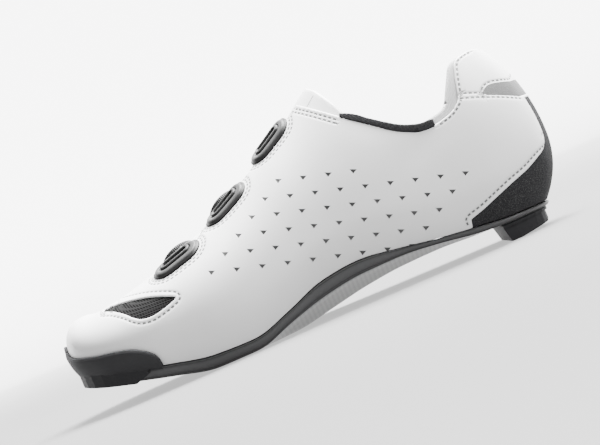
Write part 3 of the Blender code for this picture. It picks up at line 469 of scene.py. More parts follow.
class Last:
    """The surface of the last, worked out from its tables of sections."""

    def __init__(self) -> None:
        """Sample every loop of values finely and round it off a little."""
        self.where = np.linspace(0, TURNS, SAMPLES, endpoint=False)
        self.loops = {name: self.smoothed(value) for name, value in self.tables().items()}
        step = self.where[1]
        dx = np.roll(self.loops["x"], -8) - np.roll(self.loops["x"], 8)
        dy = np.roll(self.loops["y"], -8) - np.roll(self.loops["y"], 8)
        size = np.hypot(dx, dy)
        self.loops["nx"] = dy / size
        self.loops["ny"] = -dx / size
        self.step = 2 * step

    @staticmethod
    def tables() -> dict[str, Array]:
        """Return loops of values, down the medial side and back up the lateral."""
        form = dict(zip(SECTION_COLUMNS, np.array(SECTIONS).T))
        belly = dict(zip(BELLY_COLUMNS, np.array(BELLIES).T))
        plate = dict(zip(PLATE_COLUMNS, np.array(PLATES).T))
        width = BALL_WIDTH + (HEEL_WIDTH - BALL_WIDTH) * form["heel_mix"]
        spring = TOE_SPRING * plate["spring"]
        ridge = TOE_HEIGHT * form["toe"] + INSTEP_HEIGHT * form["instep"] \
            + HEEL_HEIGHT * form["heel"]
        both = {"ridge_x": place_x(form["ridge_x"]), "ridge_y": form["ridge_y"] * width,
                "ridge_z": ridge, "widest": belly["widest"], "round": belly["round"],
                "keel_z": spring + KEEL_RISE * plate["keel"]}
        halves = {name: (value, value) for name, value in both.items()}
        edges = [spring + ARCH_RISE * plate[s + "_arch"] for s in ("medial", "lateral")]
        sides = ("medial", "lateral")
        halves["x"] = tuple(place_x(form[s + "_x"]) for s in sides)
        halves["y"] = tuple(form[s + "_y"] * width for s in sides)
        halves["edge_z"] = tuple(edges)
        halves["z"] = tuple(e + PLATE_DEPTH * plate[s + "_depth"] for e, s in zip(edges, sides))
        halves["bulge"] = tuple(belly[s + "_bulge"] * LENGTH for s in sides)
        return {name: np.concatenate([a, b[-2:0:-1]]) for name, (a, b) in halves.items()}

    def smoothed(self, values: Array) -> Array:
        """Interpolate a loop without overshoot, then blur it by an eighth of a section."""
        count = len(values)
        ahead = np.roll(values, -1) - values
        behind = np.roll(ahead, 1)
        product = ahead * behind
        slope = np.where(product > 0, 2 * product / np.where(product > 0, ahead + behind, 1), 0)
        low = np.floor(self.where).astype(int) % count
        high = (low + 1) % count
        t = self.where - np.floor(self.where)
        fine = (values[low] * (2 * t**3 - 3 * t**2 + 1) + slope[low] * (t**3 - 2 * t**2 + t)
                + values[high] * (3 * t**2 - 2 * t**3) + slope[high] * (t**3 - t**2))
        reach = np.arange(-BLUR_REACH, BLUR_REACH + 1)
        weight = np.exp(-0.5 * (reach / BLUR) ** 2)
        weight /= weight.sum()
        wrapped = np.concatenate([fine[-BLUR_REACH:], fine, fine[:BLUR_REACH]])
        return np.convolve(wrapped, weight, mode="valid")

    def loop(self, name: str, w: Any) -> Array:
        """Return a named loop's value at section number w."""
        return np.interp(np.mod(w, TURNS), self.where, self.loops[name], period=TURNS)

    def ridge(self, name: str, x: Any, end: int = LAST, count: int = 400) -> Array:
        """Return a ridge value at places along X, between its samples up to section end."""
        half = np.linspace(0, end, count)
        return np.interp(x, self.loop("ridge_x", half), self.loop(name, half))

    def point(self, w: Any, t: Any) -> Array:
        """Return the surface from the foot line, t 0, to the ridge, t 1, at section w.

        Below the widest point the wall bulges as 1 - (1 - q) to a power; above it the
        wall is a quarter of a superellipse that ends level on the ridge.
        """
        x, y, z, nx, ny = (self.loop(name, w) for name in ("x", "y", "z", "nx", "ny"))
        ridge = [self.loop(name, w) for name in ("ridge_x", "ridge_y", "ridge_z")]
        wide_z = z + self.loop("widest", w) * (ridge[2] - z)
        low = np.clip(t / SPLIT, 0.0, 1.0)
        out = self.loop("bulge", w) * (1 - (1 - low) ** BELLY_POWER)
        turn = np.clip((t - SPLIT) / (1 - SPLIT), 0.0, 1.0) * math.pi / 2
        power = 2 / self.loop("round", w)
        inward = 1 - np.clip(np.cos(turn), 0, 1) ** power
        rise = np.clip(np.sin(turn), 0, 1) ** power
        side_x = x + nx * out
        side_y = y + ny * out
        height = np.where(t < SPLIT, z + (wide_z - z) * low, wide_z + (ridge[2] - wide_z) * rise)
        return np.stack([side_x + (ridge[0] - side_x) * inward,
                         side_y + (ridge[1] - side_y) * inward, height], axis=-1)

    def normal(self, w: Any, t: Any) -> Array:
        """Return the outward normal from differences along w and t."""
        along = self.point(w + self.step, t) - self.point(w - self.step, t)
        up = self.point(w, np.clip(t + 2e-3, 0, 0.9995)) - self.point(w, np.clip(t - 2e-3, 0, 1))
        return unit(np.cross(along, up))

    def grid(self, columns: int, rows: int) -> Patch:
        """Return the whole surface as one patch, closed along the ridge."""
        w = np.arange(columns) * TURNS / columns
        t = np.linspace(0, 1, rows + 1)[:-1]
        ww, tt = np.meshgrid(w, t)
        points = self.point(ww, tt).reshape(-1, 3)
        normals = self.normal(ww, tt).reshape(-1, 3)
        half = columns // 2
        top = w[:half + 1]
        ones = np.ones_like(top)
        crest = self.point(top, ones)
        lift = unit(self.normal(top, ones) + self.normal(-top, ones))
        i = np.arange(columns)
        j = (i + 1) % columns
        base = (np.arange(rows - 1) * columns)[:, None]
        a, b = (base + i).ravel(), (base + j).ravel()
        c, d = b + columns, a + columns
        top_row = (rows - 1) * columns
        crest_row = rows * columns
        a = np.concatenate([a, top_row + i])
        b = np.concatenate([b, top_row + j])
        c = np.concatenate([c, crest_row + np.minimum(j, columns - j)])
        d = np.concatenate([d, crest_row + np.minimum(i, columns - i)])
        faces = np.concatenate([np.stack([a, b, c], 1), np.stack([a, c, d], 1)])
        height = np.concatenate([tt.ravel(), ones])
        patch = Patch(np.concatenate([points, crest]), np.concatenate([normals, lift]),
                      faces, {"up": height})
        return patch if self.outwards(patch) else Patch(patch.points, patch.normals,
                                                        faces[:, ::-1], patch.fields)

    @staticmethod
    def outwards(patch: Patch) -> bool:
        """Return whether the faces turn the way of the normals."""
        a, b, c = (patch.points[patch.faces[:, k]] for k in range(3))
        return float(np.sum(np.cross(b - a, c - a) * patch.normals[patch.faces[:, 0]])) > 0

    def locate(self, targets: Array, side: Side, axes: Array, origin: Array) -> Array:
        """Find the surface points whose measures along two axes are the targets.

        A coarse search is made finer by five steps along numeric slopes.

        Args:
            targets: Measures from the origin along the two axes, one pair per row.
            side: Side of the shoe to search.
            axes: The two directions, one per row.
            origin: The place measured from.

        Returns:
            Section number and height share, one pair per row.
        """
        w = np.linspace(0, LAST, 200)
        w = w if side is Side.MEDIAL else TURNS - w
        ww, tt = (v.ravel() for v in np.meshgrid(w, np.linspace(0, 1, 90)))
        flat = (self.point(ww, tt) - origin) @ axes.T
        gaps = [np.argmin(((flat - row) ** 2).sum(axis=1)) for row in targets]
        found = np.stack([ww[gaps], tt[gaps]], axis=1)
        for _ in range(5):
            here = (self.point(found[:, 0], found[:, 1]) - origin) @ axes.T
            step = 0.01
            dw = ((self.point(found[:, 0] + step, found[:, 1]) - origin) @ axes.T - here) / step
            back = np.where(found[:, 1] > 0.98, -0.004, 0.004)
            dt = ((self.point(found[:, 0], found[:, 1] + back) - origin) @ axes.T - here) \
                / back[:, None]
            miss = targets - here
            det = dw[:, 0] * dt[:, 1] - dw[:, 1] * dt[:, 0]
            det = np.where(np.abs(det) < 1e-9, 1e-9, det)
            change = np.stack([(miss[:, 0] * dt[:, 1] - miss[:, 1] * dt[:, 0]) / det,
                               (dw[:, 0] * miss[:, 1] - dw[:, 1] * miss[:, 0]) / det], axis=1)
            found = found + np.clip(change, -0.3, 0.3) * 0.9
            found[:, 1] = np.clip(found[:, 1], 0, 0.999)
        return found

    def side_line(self, line: Array, side: Side) -> tuple[Array, Array]:
        """Return places and normals on the surface under a side-view line."""
        axes = np.array([[1.0, 0, 0], [0, 0, 1.0]])
        found = self.locate(line, side, axes, np.zeros(3))
        return self.point(found[:, 0], found[:, 1]), self.normal(found[:, 0], found[:, 1])


@dataclass
class Seat:
    """A place on the last for a fitting.

    Attributes:
        origin: Place on the surface.
        normal: Outward normal there.
        along: Direction up the instep.
        side: Side of the shoe.
    """

    origin: Array
    normal: Array
    along: Array
    side: Side

    @property
    def across(self) -> Array:
        """Return the direction square to along, in the surface."""
        return np.cross(self.normal, self.along)

    @property
    def inward_sign(self) -> float:
        """Return the sign along across that leads towards the throat."""
        return float(-np.sign(self.across[1] * self.side.value))

    @classmethod
    def at(cls, last: Last, share: float, offset: float, side: Side) -> "Seat":
        """Return the seat at a length share and a distance off the ridge."""
        x = float(place_x(share))
        ridge = float(last.ridge("ridge_y", x))
        target = np.array([[x, ridge + side.value * offset * BALL_WIDTH]])
        axes = np.array([[1.0, 0, 0], [0, 1.0, 0]])
        w, t = last.locate(target, side, axes, np.zeros(3))[0]
        origin = last.point(w, t)
        normal = last.normal(w, t)
        along = (last.point(w + 0.05, t) - origin) * (1 if side is Side.MEDIAL else -1)
        along = unit(along - normal * np.dot(along, normal))
        return cls(origin, normal, along, side)

    def places(self, last: Last, flat: Array) -> tuple[Array, Array]:
        """Return surface places and normals under points of the seat's own plane."""
        axes = np.stack([self.along, self.across])
        found = last.locate(flat, self.side, axes, self.origin)
        return last.point(found[:, 0], found[:, 1]), last.normal(found[:, 0], found[:, 1])


def racetrack(length: float, width: float, angles: Array | None = None) -> Array:
    """Return an oblong outline with round ends, whole or between given angles."""
    radius = width / 2
    reach = max(length / 2 - radius, 0.0)
    if angles is None:
        angles = np.linspace(0, 2 * math.pi, 96, endpoint=False)
    centre = reach * np.tanh(np.cos(angles) * 6)
    return np.stack([centre + radius * np.cos(angles), radius * np.sin(angles)], axis=1)


def lofted(rings: Sequence[Array], values: dict[str, Array]) -> Patch:
    """Join closed rings of equal count into one skin, row by row.

    Args:
        rings: Rings of places, from the outside in.
        values: One value per ring for each named field.

    Returns:
        The skin, with normals left at zero.
    """
    count = len(rings[0])
    i = np.arange(count)
    j = (i + 1) % count
    base = (np.arange(len(rings) - 1) * count)[:, None]
    a, b = (base + i).ravel(), (base + j).ravel()
    faces = np.concatenate([np.stack([a, b, b + count], 1), np.stack([a, b + count, a + count], 1)])
    points = np.concatenate(rings)
    fields = {name: np.repeat(value, count) for name, value in values.items()}
    return Patch(points, np.zeros_like(points), faces, fields)


def tube(path: Array, radius: float, sides: int = 12) -> Patch:
    """Return a round tube: rings square to the path, with a frame carried along it."""
    tangent = unit(np.gradient(path, axis=0))
    up = np.array([0, 0, 1.0])
    side = unit(np.cross(tangent, up))
    top = np.cross(side, tangent)
    angles = np.linspace(0, 2 * math.pi, sides, endpoint=False)
    rings = [p + radius * (np.cos(angles)[:, None] * s + np.sin(angles)[:, None] * u)
             for p, s, u in zip(path, side, top)]
    length = np.concatenate([[0], np.cumsum(np.linalg.norm(np.diff(path, axis=0), axis=1))])
    return lofted(rings, {"run": length / MM})


def seam_field(patch: Patch, lines: Iterable[tuple[Array, bool]]) -> Array:
    """Return run and signed distance to the nearest line for each point, in mm.

    Args:
        patch: Where the values are wanted.
        lines: Places along each line, and whether it is closed.

    Returns:
        Rows of run, signed distance and plain distance.
    """
    out = np.zeros((len(patch.points), 3))
    out[:, 1:] = 9.0
    for line, closed in lines:
        low, high = line.min(axis=0) - 0.006, line.max(axis=0) + 0.006
        near = np.nonzero(((patch.points > low) & (patch.points < high)).all(axis=1))[0]
        place, normal = patch.points[near], patch.normals[near]
        ends = np.roll(line, -1, axis=0) if closed else line[1:]
        run = 0.0
        for start, end in zip(line, ends):
            step = end - start
            size = float(np.linalg.norm(step))
            if size < 1e-7:
                continue
            share = np.clip((place - start) @ step / size**2, 0, 1)
            off = place - start - share[:, None] * step
            gap = np.linalg.norm(off, axis=1) / MM
            better = gap < np.abs(out[near, 1])
            sign = np.where(np.sum(np.cross(step, off) * normal, axis=1) >= 0, 1.0, -1.0)
            chosen = near[better]
            out[chosen, 0] = (run + share[better] * size) / MM
            out[chosen, 1] = (gap * sign)[better]
            out[chosen, 2] = gap[better]
            run += size
    return out


class Graph:
    """A thin helper for making shader nodes."""

    def __init__(self, tree: Any) -> None:
        """Keep the node tree."""
        self.tree = tree

    def node(self, kind: str, inputs: dict[Any, Any] | None = None, **settings: Any) -> Any:
        """Add a node, set its settings and set or link its inputs."""
        made = self.tree.nodes.new(kind)
        for name, value in settings.items():
            setattr(made, name, value)
        for name, value in (inputs or {}).items():
            if isinstance(value, bpy.types.NodeSocket):
                self.tree.links.new(value, made.inputs[name])
            else:
                made.inputs[name].default_value = value
        return made

    def math(self, operation: str, *values: Any) -> Socket:
        """Add a math node and return its output."""
        made = self.node("ShaderNodeMath", dict(enumerate(values)), operation=operation)
        return made.outputs[0]

    def mix(self, share: Any, a: Any, b: Any) -> Socket:
        """Mix two colours."""
        made = self.node("ShaderNodeMix", {0: share, 6: a, 7: b}, data_type="RGBA")
        return made.outputs[2]

    def blend(self, share: Any, a: Any, b: Any) -> Socket:
        """Mix two values."""
        return self.node("ShaderNodeMix", {0: share, 2: a, 3: b}).outputs[0]

    def step(self, value: Any, low: float, high: float) -> Socket:
        """Return a soft step of a value from 0 at low to 1 at high."""
        made = self.node("ShaderNodeMapRange", {0: value, 1: low, 2: high},
                         interpolation_type="SMOOTHSTEP")
        return made.outputs[0]

    def split(self, vector: Any) -> tuple[Socket, Socket, Socket]:
        """Return a vector's three values."""
        made = self.node("ShaderNodeSeparateXYZ", {0: vector})
        return tuple(made.outputs)

    def effect(self, name: str, inputs: dict[Any, Any]) -> Any:
        """Add the node group of a shared effect."""
        return self.node("ShaderNodeGroup", inputs, node_tree=Effects.get(name))

    def attribute(self, name: str, output: str = "Fac") -> Socket:
        """Return a mesh attribute, as a value or as a vector."""
        return self.node("ShaderNodeAttribute", attribute_name=name).outputs[output]

    def noise(self, vector: Any, scale: float, detail: float = 2.0) -> Socket:
        """Return a noise value of 0 to 1."""
        made = self.node("ShaderNodeTexNoise",
                         {"Vector": vector, "Scale": scale, "Detail": detail})
        return made.outputs[0]


def grey(value: float) -> tuple[float, float, float, float]:
    """Return an opaque grey."""
    return (value, value, value, 1)


def group(name: str, inputs: dict[str, str], outputs: Sequence[str]) -> tuple[Any, Graph, Any, Any]:
    """Make a node group with vector or value inputs and value outputs.

    Args:
        name: The group's name.
        inputs: Socket kind for each input.
        outputs: Names of the value outputs.

    Returns:
        The group, its graph, its input node and its output node.
    """
    tree = bpy.data.node_groups.new(name, "ShaderNodeTree")
    for label, kind in inputs.items():
        tree.interface.new_socket(label, in_out="INPUT", socket_type=kind)
    for label in outputs:
        tree.interface.new_socket(label, in_out="OUTPUT", socket_type="NodeSocketFloat")
    graph = Graph(tree)
    return tree, graph, graph.node("NodeGroupInput"), graph.node("NodeGroupOutput")


VECTOR = "NodeSocketVector"
VALUE = "NodeSocketFloat"


class Effects:
    """Shader effects that several finishes share, each made once as a node group."""

    made: dict[str, Any] = {}

    @classmethod
    def get(cls, name: str) -> Any:
        """Return the named effect, made on first use."""
        if name not in cls.made:
            cls.made[name] = getattr(cls, name)()
        return cls.made[name]

    @staticmethod
    def stitch() -> Any:
        """Dashes along a line: mask where run within the pitch and distance are small."""
        tree, g, start, end = group("stitch", {"Line": VECTOR, "Pitch": VALUE, "Width": VALUE},
                                    ("Mask", "Groove"))
        run, off, plain = g.split(start.outputs["Line"])
        off = g.math("MAXIMUM", g.math("ABSOLUTE", off), g.math("SUBTRACT", plain, 1.4))
        phase = g.math("FRACT", g.math("DIVIDE", run, start.outputs["Pitch"]))
        middle = g.math("ABSOLUTE", g.math("SUBTRACT", phase, 0.5))
        dash = g.math("SUBTRACT", 1.0, g.step(middle, 0.26, 0.36))
        wide = g.math("DIVIDE", off, start.outputs["Width"])
        line = g.math("SUBTRACT", 1.0, g.step(wide, 0.6, 1.0))
        g.tree.links.new(g.math("MULTIPLY", dash, line), end.inputs["Mask"])
        groove = g.math("SUBTRACT", 1.0, g.step(wide, 0.4, 2.2))
        g.tree.links.new(groove, end.inputs["Groove"])
        return tree

    @staticmethod
    def holes() -> Any:
        """Small triangular holes on a slanted lattice of six rows, in side view.

        The place in mm is turned into lattice numbers, these are rounded and limited,
        and what is left over is measured against a triangle with its flat edge up.
        """
        tree, g, start, end = group("holes", {"Place": VECTOR}, ("Mask",))
        x, _, z = g.split(start.outputs["Place"])
        first, along, down = (54.9, 79.2), (12.95, -3.66), (-10.22, -6.20)
        det = along[0] * down[1] - along[1] * down[0]
        dx = g.math("SUBTRACT", x, first[0])
        dz = g.math("SUBTRACT", z, first[1])
        i = g.math("SUBTRACT", g.math("MULTIPLY", dx, down[1] / det),
                   g.math("MULTIPLY", dz, down[0] / det))
        j = g.math("SUBTRACT", g.math("MULTIPLY", dz, along[0] / det),
                   g.math("MULTIPLY", dx, along[1] / det))
        j = g.math("MINIMUM", g.math("MAXIMUM", g.math("ROUND", j), 0.0), 5.0)
        most = g.math("ADD", 3.0, g.math("MULTIPLY", g.math("GREATER_THAN", j, 0.5), 5.0))
        i = g.math("MINIMUM", g.math("MAXIMUM", g.math("ROUND", i), 0.0), most)
        left = [g.math("SUBTRACT", g.math("SUBTRACT", d, g.math("MULTIPLY", i, a)),
                       g.math("MULTIPLY", j, b)) for d, a, b in zip((dx, dz), along, down)]
        right, up = (0.9196, -0.3928), (0.3928, 0.9196)
        r, u = (g.math("ADD", g.math("MULTIPLY", left[0], a[0]),
                       g.math("MULTIPLY", left[1], a[1])) for a in (right, up))
        slope = g.math("SUBTRACT", g.math("ABSOLUTE", r),
                       g.math("MULTIPLY", g.math("ADD", u, 1.35), 0.80))
        gap = g.math("MAXIMUM", g.math("SUBTRACT", u, 0.95), g.math("MULTIPLY", slope, 0.78))
        g.tree.links.new(g.math("SUBTRACT", 1.0, g.step(gap, -0.18, 0.18)), end.inputs["Mask"])
        return tree

    @staticmethod
    def grain() -> Any:
        """Fine leather grain: cell edges and noise as a height, plus a slow tint."""
        tree, g, start, end = group("grain", {"Place": VECTOR, "Size": VALUE},
                                    ("Height", "Tint"))
        scale = g.math("DIVIDE", 1.0, start.outputs["Size"])
        cells = g.node("ShaderNodeTexVoronoi", {"Vector": start.outputs["Place"],
                                                "Scale": scale}, feature="SMOOTH_F1")
        fine = g.noise(start.outputs["Place"], 2.2, 4.0)
        slow = g.noise(start.outputs["Place"], 0.035, 3.0)
        g.tree.links.new(g.math("ADD", cells.outputs[0], g.math("MULTIPLY", fine, 0.6)),
                         end.inputs["Height"])
        g.tree.links.new(slow, end.inputs["Tint"])
        return tree

    @staticmethod
    def twill() -> Any:
        """Two by two twill: steps of whole tows, shifted by one in each row."""
        tree, g, start, end = group("twill", {"Place": VECTOR, "Tow": VALUE},
                                    ("Mask", "Height"))
        x, y, _ = g.split(start.outputs["Place"])
        turned = [g.math("ADD", g.math("MULTIPLY", x, a), g.math("MULTIPLY", y, b))
                  for a, b in ((0.7071, 0.7071), (-0.7071, 0.7071))]
        u, v = (g.math("DIVIDE", value, start.outputs["Tow"]) for value in turned)
        index = g.math("SUBTRACT", g.math("FLOOR", u), g.math("FLOOR", v))
        phase = g.math("FLOORED_MODULO", index, 4.0)
        mask = g.math("LESS_THAN", phase, 1.5)
        warp = g.math("ABSOLUTE", g.math("SUBTRACT", g.math("FRACT", u), 0.5))
        weft = g.math("ABSOLUTE", g.math("SUBTRACT", g.math("FRACT", v), 0.5))
        g.tree.links.new(mask, end.inputs["Mask"])
        g.tree.links.new(g.math("SUBTRACT", 0.5, g.blend(mask, warp, weft)),
                         end.inputs["Height"])
        return tree

    @staticmethod
    def knit() -> Any:
        """Oval cells in rows, every second row shifted by half a cell."""
        tree, g, start, end = group("knit", {"Place": VECTOR, "Cell": VALUE}, ("Mask",))
        x, y, z = g.split(start.outputs["Place"])
        u = g.math("DIVIDE", g.math("ADD", x, g.math("MULTIPLY", z, 0.5)), start.outputs["Cell"])
        v = g.math("DIVIDE", g.math("SUBTRACT", z, g.math("MULTIPLY", y, 0.4)),
                   g.math("MULTIPLY", start.outputs["Cell"], 0.7))
        row = g.math("FLOOR", v)
        shift = g.math("MULTIPLY", g.math("FLOORED_MODULO", row, 2.0), 0.5)
        du = g.math("SUBTRACT", g.math("FRACT", g.math("ADD", u, shift)), 0.5)
        dv = g.math("SUBTRACT", g.math("FRACT", v), 0.5)
        size = g.math("SQRT", g.math("ADD", g.math("MULTIPLY", du, du),
                                     g.math("MULTIPLY", dv, dv)))
        g.tree.links.new(g.step(size, 0.24, 0.42), end.inputs["Mask"])
        return tree


@dataclass(frozen=True)
class Finish:
    """A plain finish with grain, and the base of the others.

    Attributes:
        name: The material's name.
        colour: Base colour.
        rough: Roughness.
        grain: Height of the grain in mm.
        size: Size of the grain in mm.
        tint: How much the slow tint varies the colour.
        coat: Weight of the clear coat.
        metal: Metallic value.
        sheen: Weight of the cloth sheen.
        shine: Strength of the plain reflection; 0.5 is that of most plastics.
    """

    name: str
    colour: tuple[float, float, float]
    rough: float = 0.5
    grain: float = 0.02
    size: float = 0.5
    tint: float = 0.1
    coat: float = 0.0
    metal: float = 0.0
    sheen: float = 0.0
    shine: float = 0.5

    def material(self) -> Any:
        """Return the material, made on first use."""
        found = bpy.data.materials.get("look_" + self.name)
        if found:
            return found
        made = bpy.data.materials.new("look_" + self.name)
        made.use_nodes = True
        made.node_tree.nodes.clear()
        g = Graph(made.node_tree)
        place = g.node("ShaderNodeVectorMath",
                       {0: g.node("ShaderNodeTexCoord").outputs["Object"], "Scale": 1 / MM},
                       operation="SCALE").outputs[0]
        grain = g.effect("grain", {"Place": place, "Size": self.size})
        slow = grain.outputs["Tint"]
        height = g.math("MULTIPLY", grain.outputs["Height"], self.grain)
        base = g.mix(g.step(slow, 0.3, 0.7), (*[c * (1 - self.tint) for c in self.colour], 1),
                     (*[min(c * (1 + self.tint), 1) for c in self.colour], 1))
        rough = g.math("ADD", self.rough - 0.05, g.math("MULTIPLY", slow, 0.1))
        colour, rough, height = self.detail(g, place, base, rough, height)
        bump = g.node("ShaderNodeBump", {"Strength": 1.0, "Distance": MM, "Height": height})
        shader = g.node("ShaderNodeBsdfPrincipled", {
            "Base Color": colour, "Roughness": rough, "Normal": bump.outputs[0],
            "Coat Weight": self.coat, "Coat Roughness": 0.25, "Metallic": self.metal,
            "Sheen Weight": self.sheen, "Specular IOR Level": self.shine,
        })
        g.node("ShaderNodeOutputMaterial", {0: shader.outputs[0]})
        return made

    def detail(self, g: Graph, place: Socket, colour: Socket, rough: Socket,
               height: Socket) -> tuple[Socket, Socket, Socket]:
        """Return colour, roughness and height with the finish's own pattern."""
        return colour, rough, height


@dataclass(frozen=True)
class WhiteLeather(Finish):
    """Coated white upper with stitched seams and triangular holes.

    Attributes:
        holes: Whether the triangular holes show.
        pitch: Stitch pitch in mm.
        thread: Half width of a stitch in mm.
        dark: Grey value of the thread.
        groove_shade: Grey value that the leather in the groove beside a stitch is mixed with, as
            painted shade in the groove.
    """

    holes: bool = True
    pitch: float = 2.9
    thread: float = 0.70
    dark: float = 0.035
    groove_shade: float = 0.25

    def detail(self, g: Graph, place: Socket, colour: Socket, rough: Socket,
               height: Socket) -> tuple[Socket, Socket, Socket]:
        """Add two sets of stitch rows and the holes."""
        for label in ("seam_a", "seam_b"):
            rows = g.effect("stitch", {"Line": g.attribute(label, "Vector"),
                                       "Pitch": self.pitch, "Width": self.thread})
            # The groove beside each row is darkened as painted shade; the thread's dark grey is its
            # own colour
            for output, share, tone_and_shade in (("Groove", 0.20, self.groove_shade), ("Mask", 0.95, self.dark)):
                colour = g.mix(g.math("MULTIPLY", rows.outputs[output], share), colour,
                               grey(tone_and_shade))
            for output, depth in (("Groove", 0.12), ("Mask", 0.10)):
                height = g.math("SUBTRACT", height,
                                g.math("MULTIPLY", rows.outputs[output], depth))
        if self.holes:
            # The holes are not cut through: their near-black fill is painted shade standing in for
            # the openings, and they are sunk by bump as well
            shaded_holes = g.effect("holes", {"Place": place}).outputs["Mask"]
            colour = g.mix(shaded_holes, colour, grey(0.010))
            height = g.math("SUBTRACT", height, g.math("MULTIPLY", shaded_holes, 0.8))
        return colour, rough, height


@dataclass(frozen=True)
class ToneAndShade(Finish):
    """A finish whose brightness follows a value at each point; on the guides this value holds
    painted shade as well as their own light and dark parts.
    """

    def detail(self, g: Graph, place: Socket, colour: Socket, rough: Socket,
               height: Socket) -> tuple[Socket, Socket, Socket]:
        """Scale the colour by the value at each point, painted shade included."""
        return g.mix(g.attribute("tone_and_shade"), grey(0.002), colour), rough, height


@dataclass(frozen=True)
class Composite(Finish):
    """Dark side wall darkened further by painted shadow, shade and reflection, with lacquered twill
    where the under value is one.
    """

    def detail(self, g: Graph, place: Socket, colour: Socket, rough: Socket,
               height: Socket) -> tuple[Socket, Socket, Socket]:
        """Blend the side wall into twill by the under attribute; the twill's pale grey is painted
        reflection of the floor.
        """
        under = g.attribute("under")
        # Painted shadow, shade and reflection: the side wall is darkened by each ring's value
        colour = g.mix(g.attribute("tone_and_shade"), grey(0.003), colour)
        weave = g.effect("twill", {"Place": place, "Tow": 0.9})
        # The weave is the plate's own; its pale grey is painted reflection of the bright floor on
        # the lacquered underside
        twill_with_painted_reflection = g.mix(weave.outputs["Mask"], grey(0.30), grey(0.34))
        colour = g.mix(under, colour, twill_with_painted_reflection)
        rough = g.blend(under, rough, g.blend(weave.outputs["Mask"], 0.18, 0.24))
        lift = g.math("MULTIPLY", weave.outputs["Height"], g.math("MULTIPLY", under, 0.02))
        return colour, rough, g.math("ADD", height, lift)


@dataclass(frozen=True)
class Knit(Finish):
    """Knitted or woven cloth with oval cells.

    Attributes:
        cell: Size of a cell in mm.
        pit: Depth of a cell in mm.
        low: Grey value inside a cell, painted shade in the sunk cell.
    """

    cell: float = 1.5
    pit: float = 0.3
    low: float = 0.01

    def detail(self, g: Graph, place: Socket, colour: Socket, rough: Socket,
               height: Socket) -> tuple[Socket, Socket, Socket]:
        """Darken the cells as painted shade and sink them."""
        mask = g.effect("knit", {"Place": place, "Cell": self.cell}).outputs["Mask"]
        colour = g.mix(mask, grey(self.low), colour)
        return colour, rough, g.math("ADD", height, g.math("MULTIPLY", mask, self.pit))


@dataclass(frozen=True)
class Speckled(Finish):
    """Dark nap with fine light and dark specks.

    Attributes:
        speck: Grey value of the light specks.
    """

    speck: float = 0.034

    def detail(self, g: Graph, place: Socket, colour: Socket, rough: Socket,
               height: Socket) -> tuple[Socket, Socket, Socket]:
        """Mix specks in by a fine noise."""
        fine = g.step(g.noise(place, 2.4, 2.0), 0.45, 0.70)
        colour = g.mix(fine, colour, grey(self.speck))
        return colour, rough, g.math("ADD", height, g.math("MULTIPLY", fine, 0.05))


WHITE = WhiteLeather("white", (0.47, 0.47, 0.47), 0.40, 0.010, 0.45, 0.02, coat=0.10)
INNER_WHITE = WhiteLeather("inner_white", (0.45, 0.45, 0.45), 0.7, 0.02, 0.6, 0.04, holes=False)
TONGUE_SKIN = Finish("tongue", (0.40, 0.40, 0.40), 0.46, 0.015, 0.5, 0.02)
SEAM = Finish("seam", (0.10, 0.10, 0.10), 0.8, 0.01, 0.3, 0.05)
RUBBER = Finish("rubber", (0.012, 0.012, 0.013), 0.62, 0.03, 0.35, 0.10, shine=0.12)
GUARD_RUBBER = Finish("guard", (0.015, 0.015, 0.016), 0.66, 0.02, 0.30, 0.08, shine=0.14)
SOLE = Composite("sole", (0.028, 0.028, 0.029), 0.45, 0.008, 0.5, 0.08, coat=0.10, shine=0.30)
MICROFIBRE = Speckled("microfibre", (0.008, 0.008, 0.009), 0.8, 0.03, 0.4, 0.10, shine=0.10)
FILM = Speckled("film", (0.055, 0.055, 0.055), 0.5, 0.01, 0.3, 0.04, metal=0.1, speck=0.065)
MESH = Knit("mesh", (0.008, 0.008, 0.008), 0.9, 0.02, 0.3, 0.05, cell=1.45, pit=0.35, low=0.001,
            shine=0.04)
BINDING = Knit("binding", (0.013, 0.013, 0.014), 0.85, 0.03, 0.3, 0.08, cell=1.0, pit=0.15,
               low=0.006, shine=0.06)
LINING = Knit("lining", (0.30, 0.30, 0.30), 0.9, 0.03, 0.4, 0.03, cell=0.9, pit=0.08, low=0.22,
              sheen=0.1)
INSOLE = Knit("insole", (0.16, 0.16, 0.17), 0.9, 0.03, 0.4, 0.06, cell=1.2, pit=0.1, low=0.10)
GUIDE = ToneAndShade("guide", (0.025, 0.025, 0.025), 0.45, 0.004, 0.4, 0.03, shine=0.10)
DIAL = ToneAndShade("dial", (0.26, 0.26, 0.26), 0.45, 0.004, 0.4, 0.03, shine=0.12)
LACE = Knit("lace", (0.20, 0.20, 0.20), 0.5, 0.01, 0.3, 0.04, cell=0.5, pit=0.05, low=0.10)


def lagged(points: Array) -> Array:
    """Return side-view places, with the outer side's high collar set back a little.

    The outer side is read from 5 mm further forward where it is high; both steps are soft.
    """
    lag = 5 * MM * smoothstep(0.0, 0.020, points[:, 1]) * smoothstep(0.070, 0.085, points[:, 2])
    return np.stack([points[:, 0] - lag, points[:, 2]], axis=1)


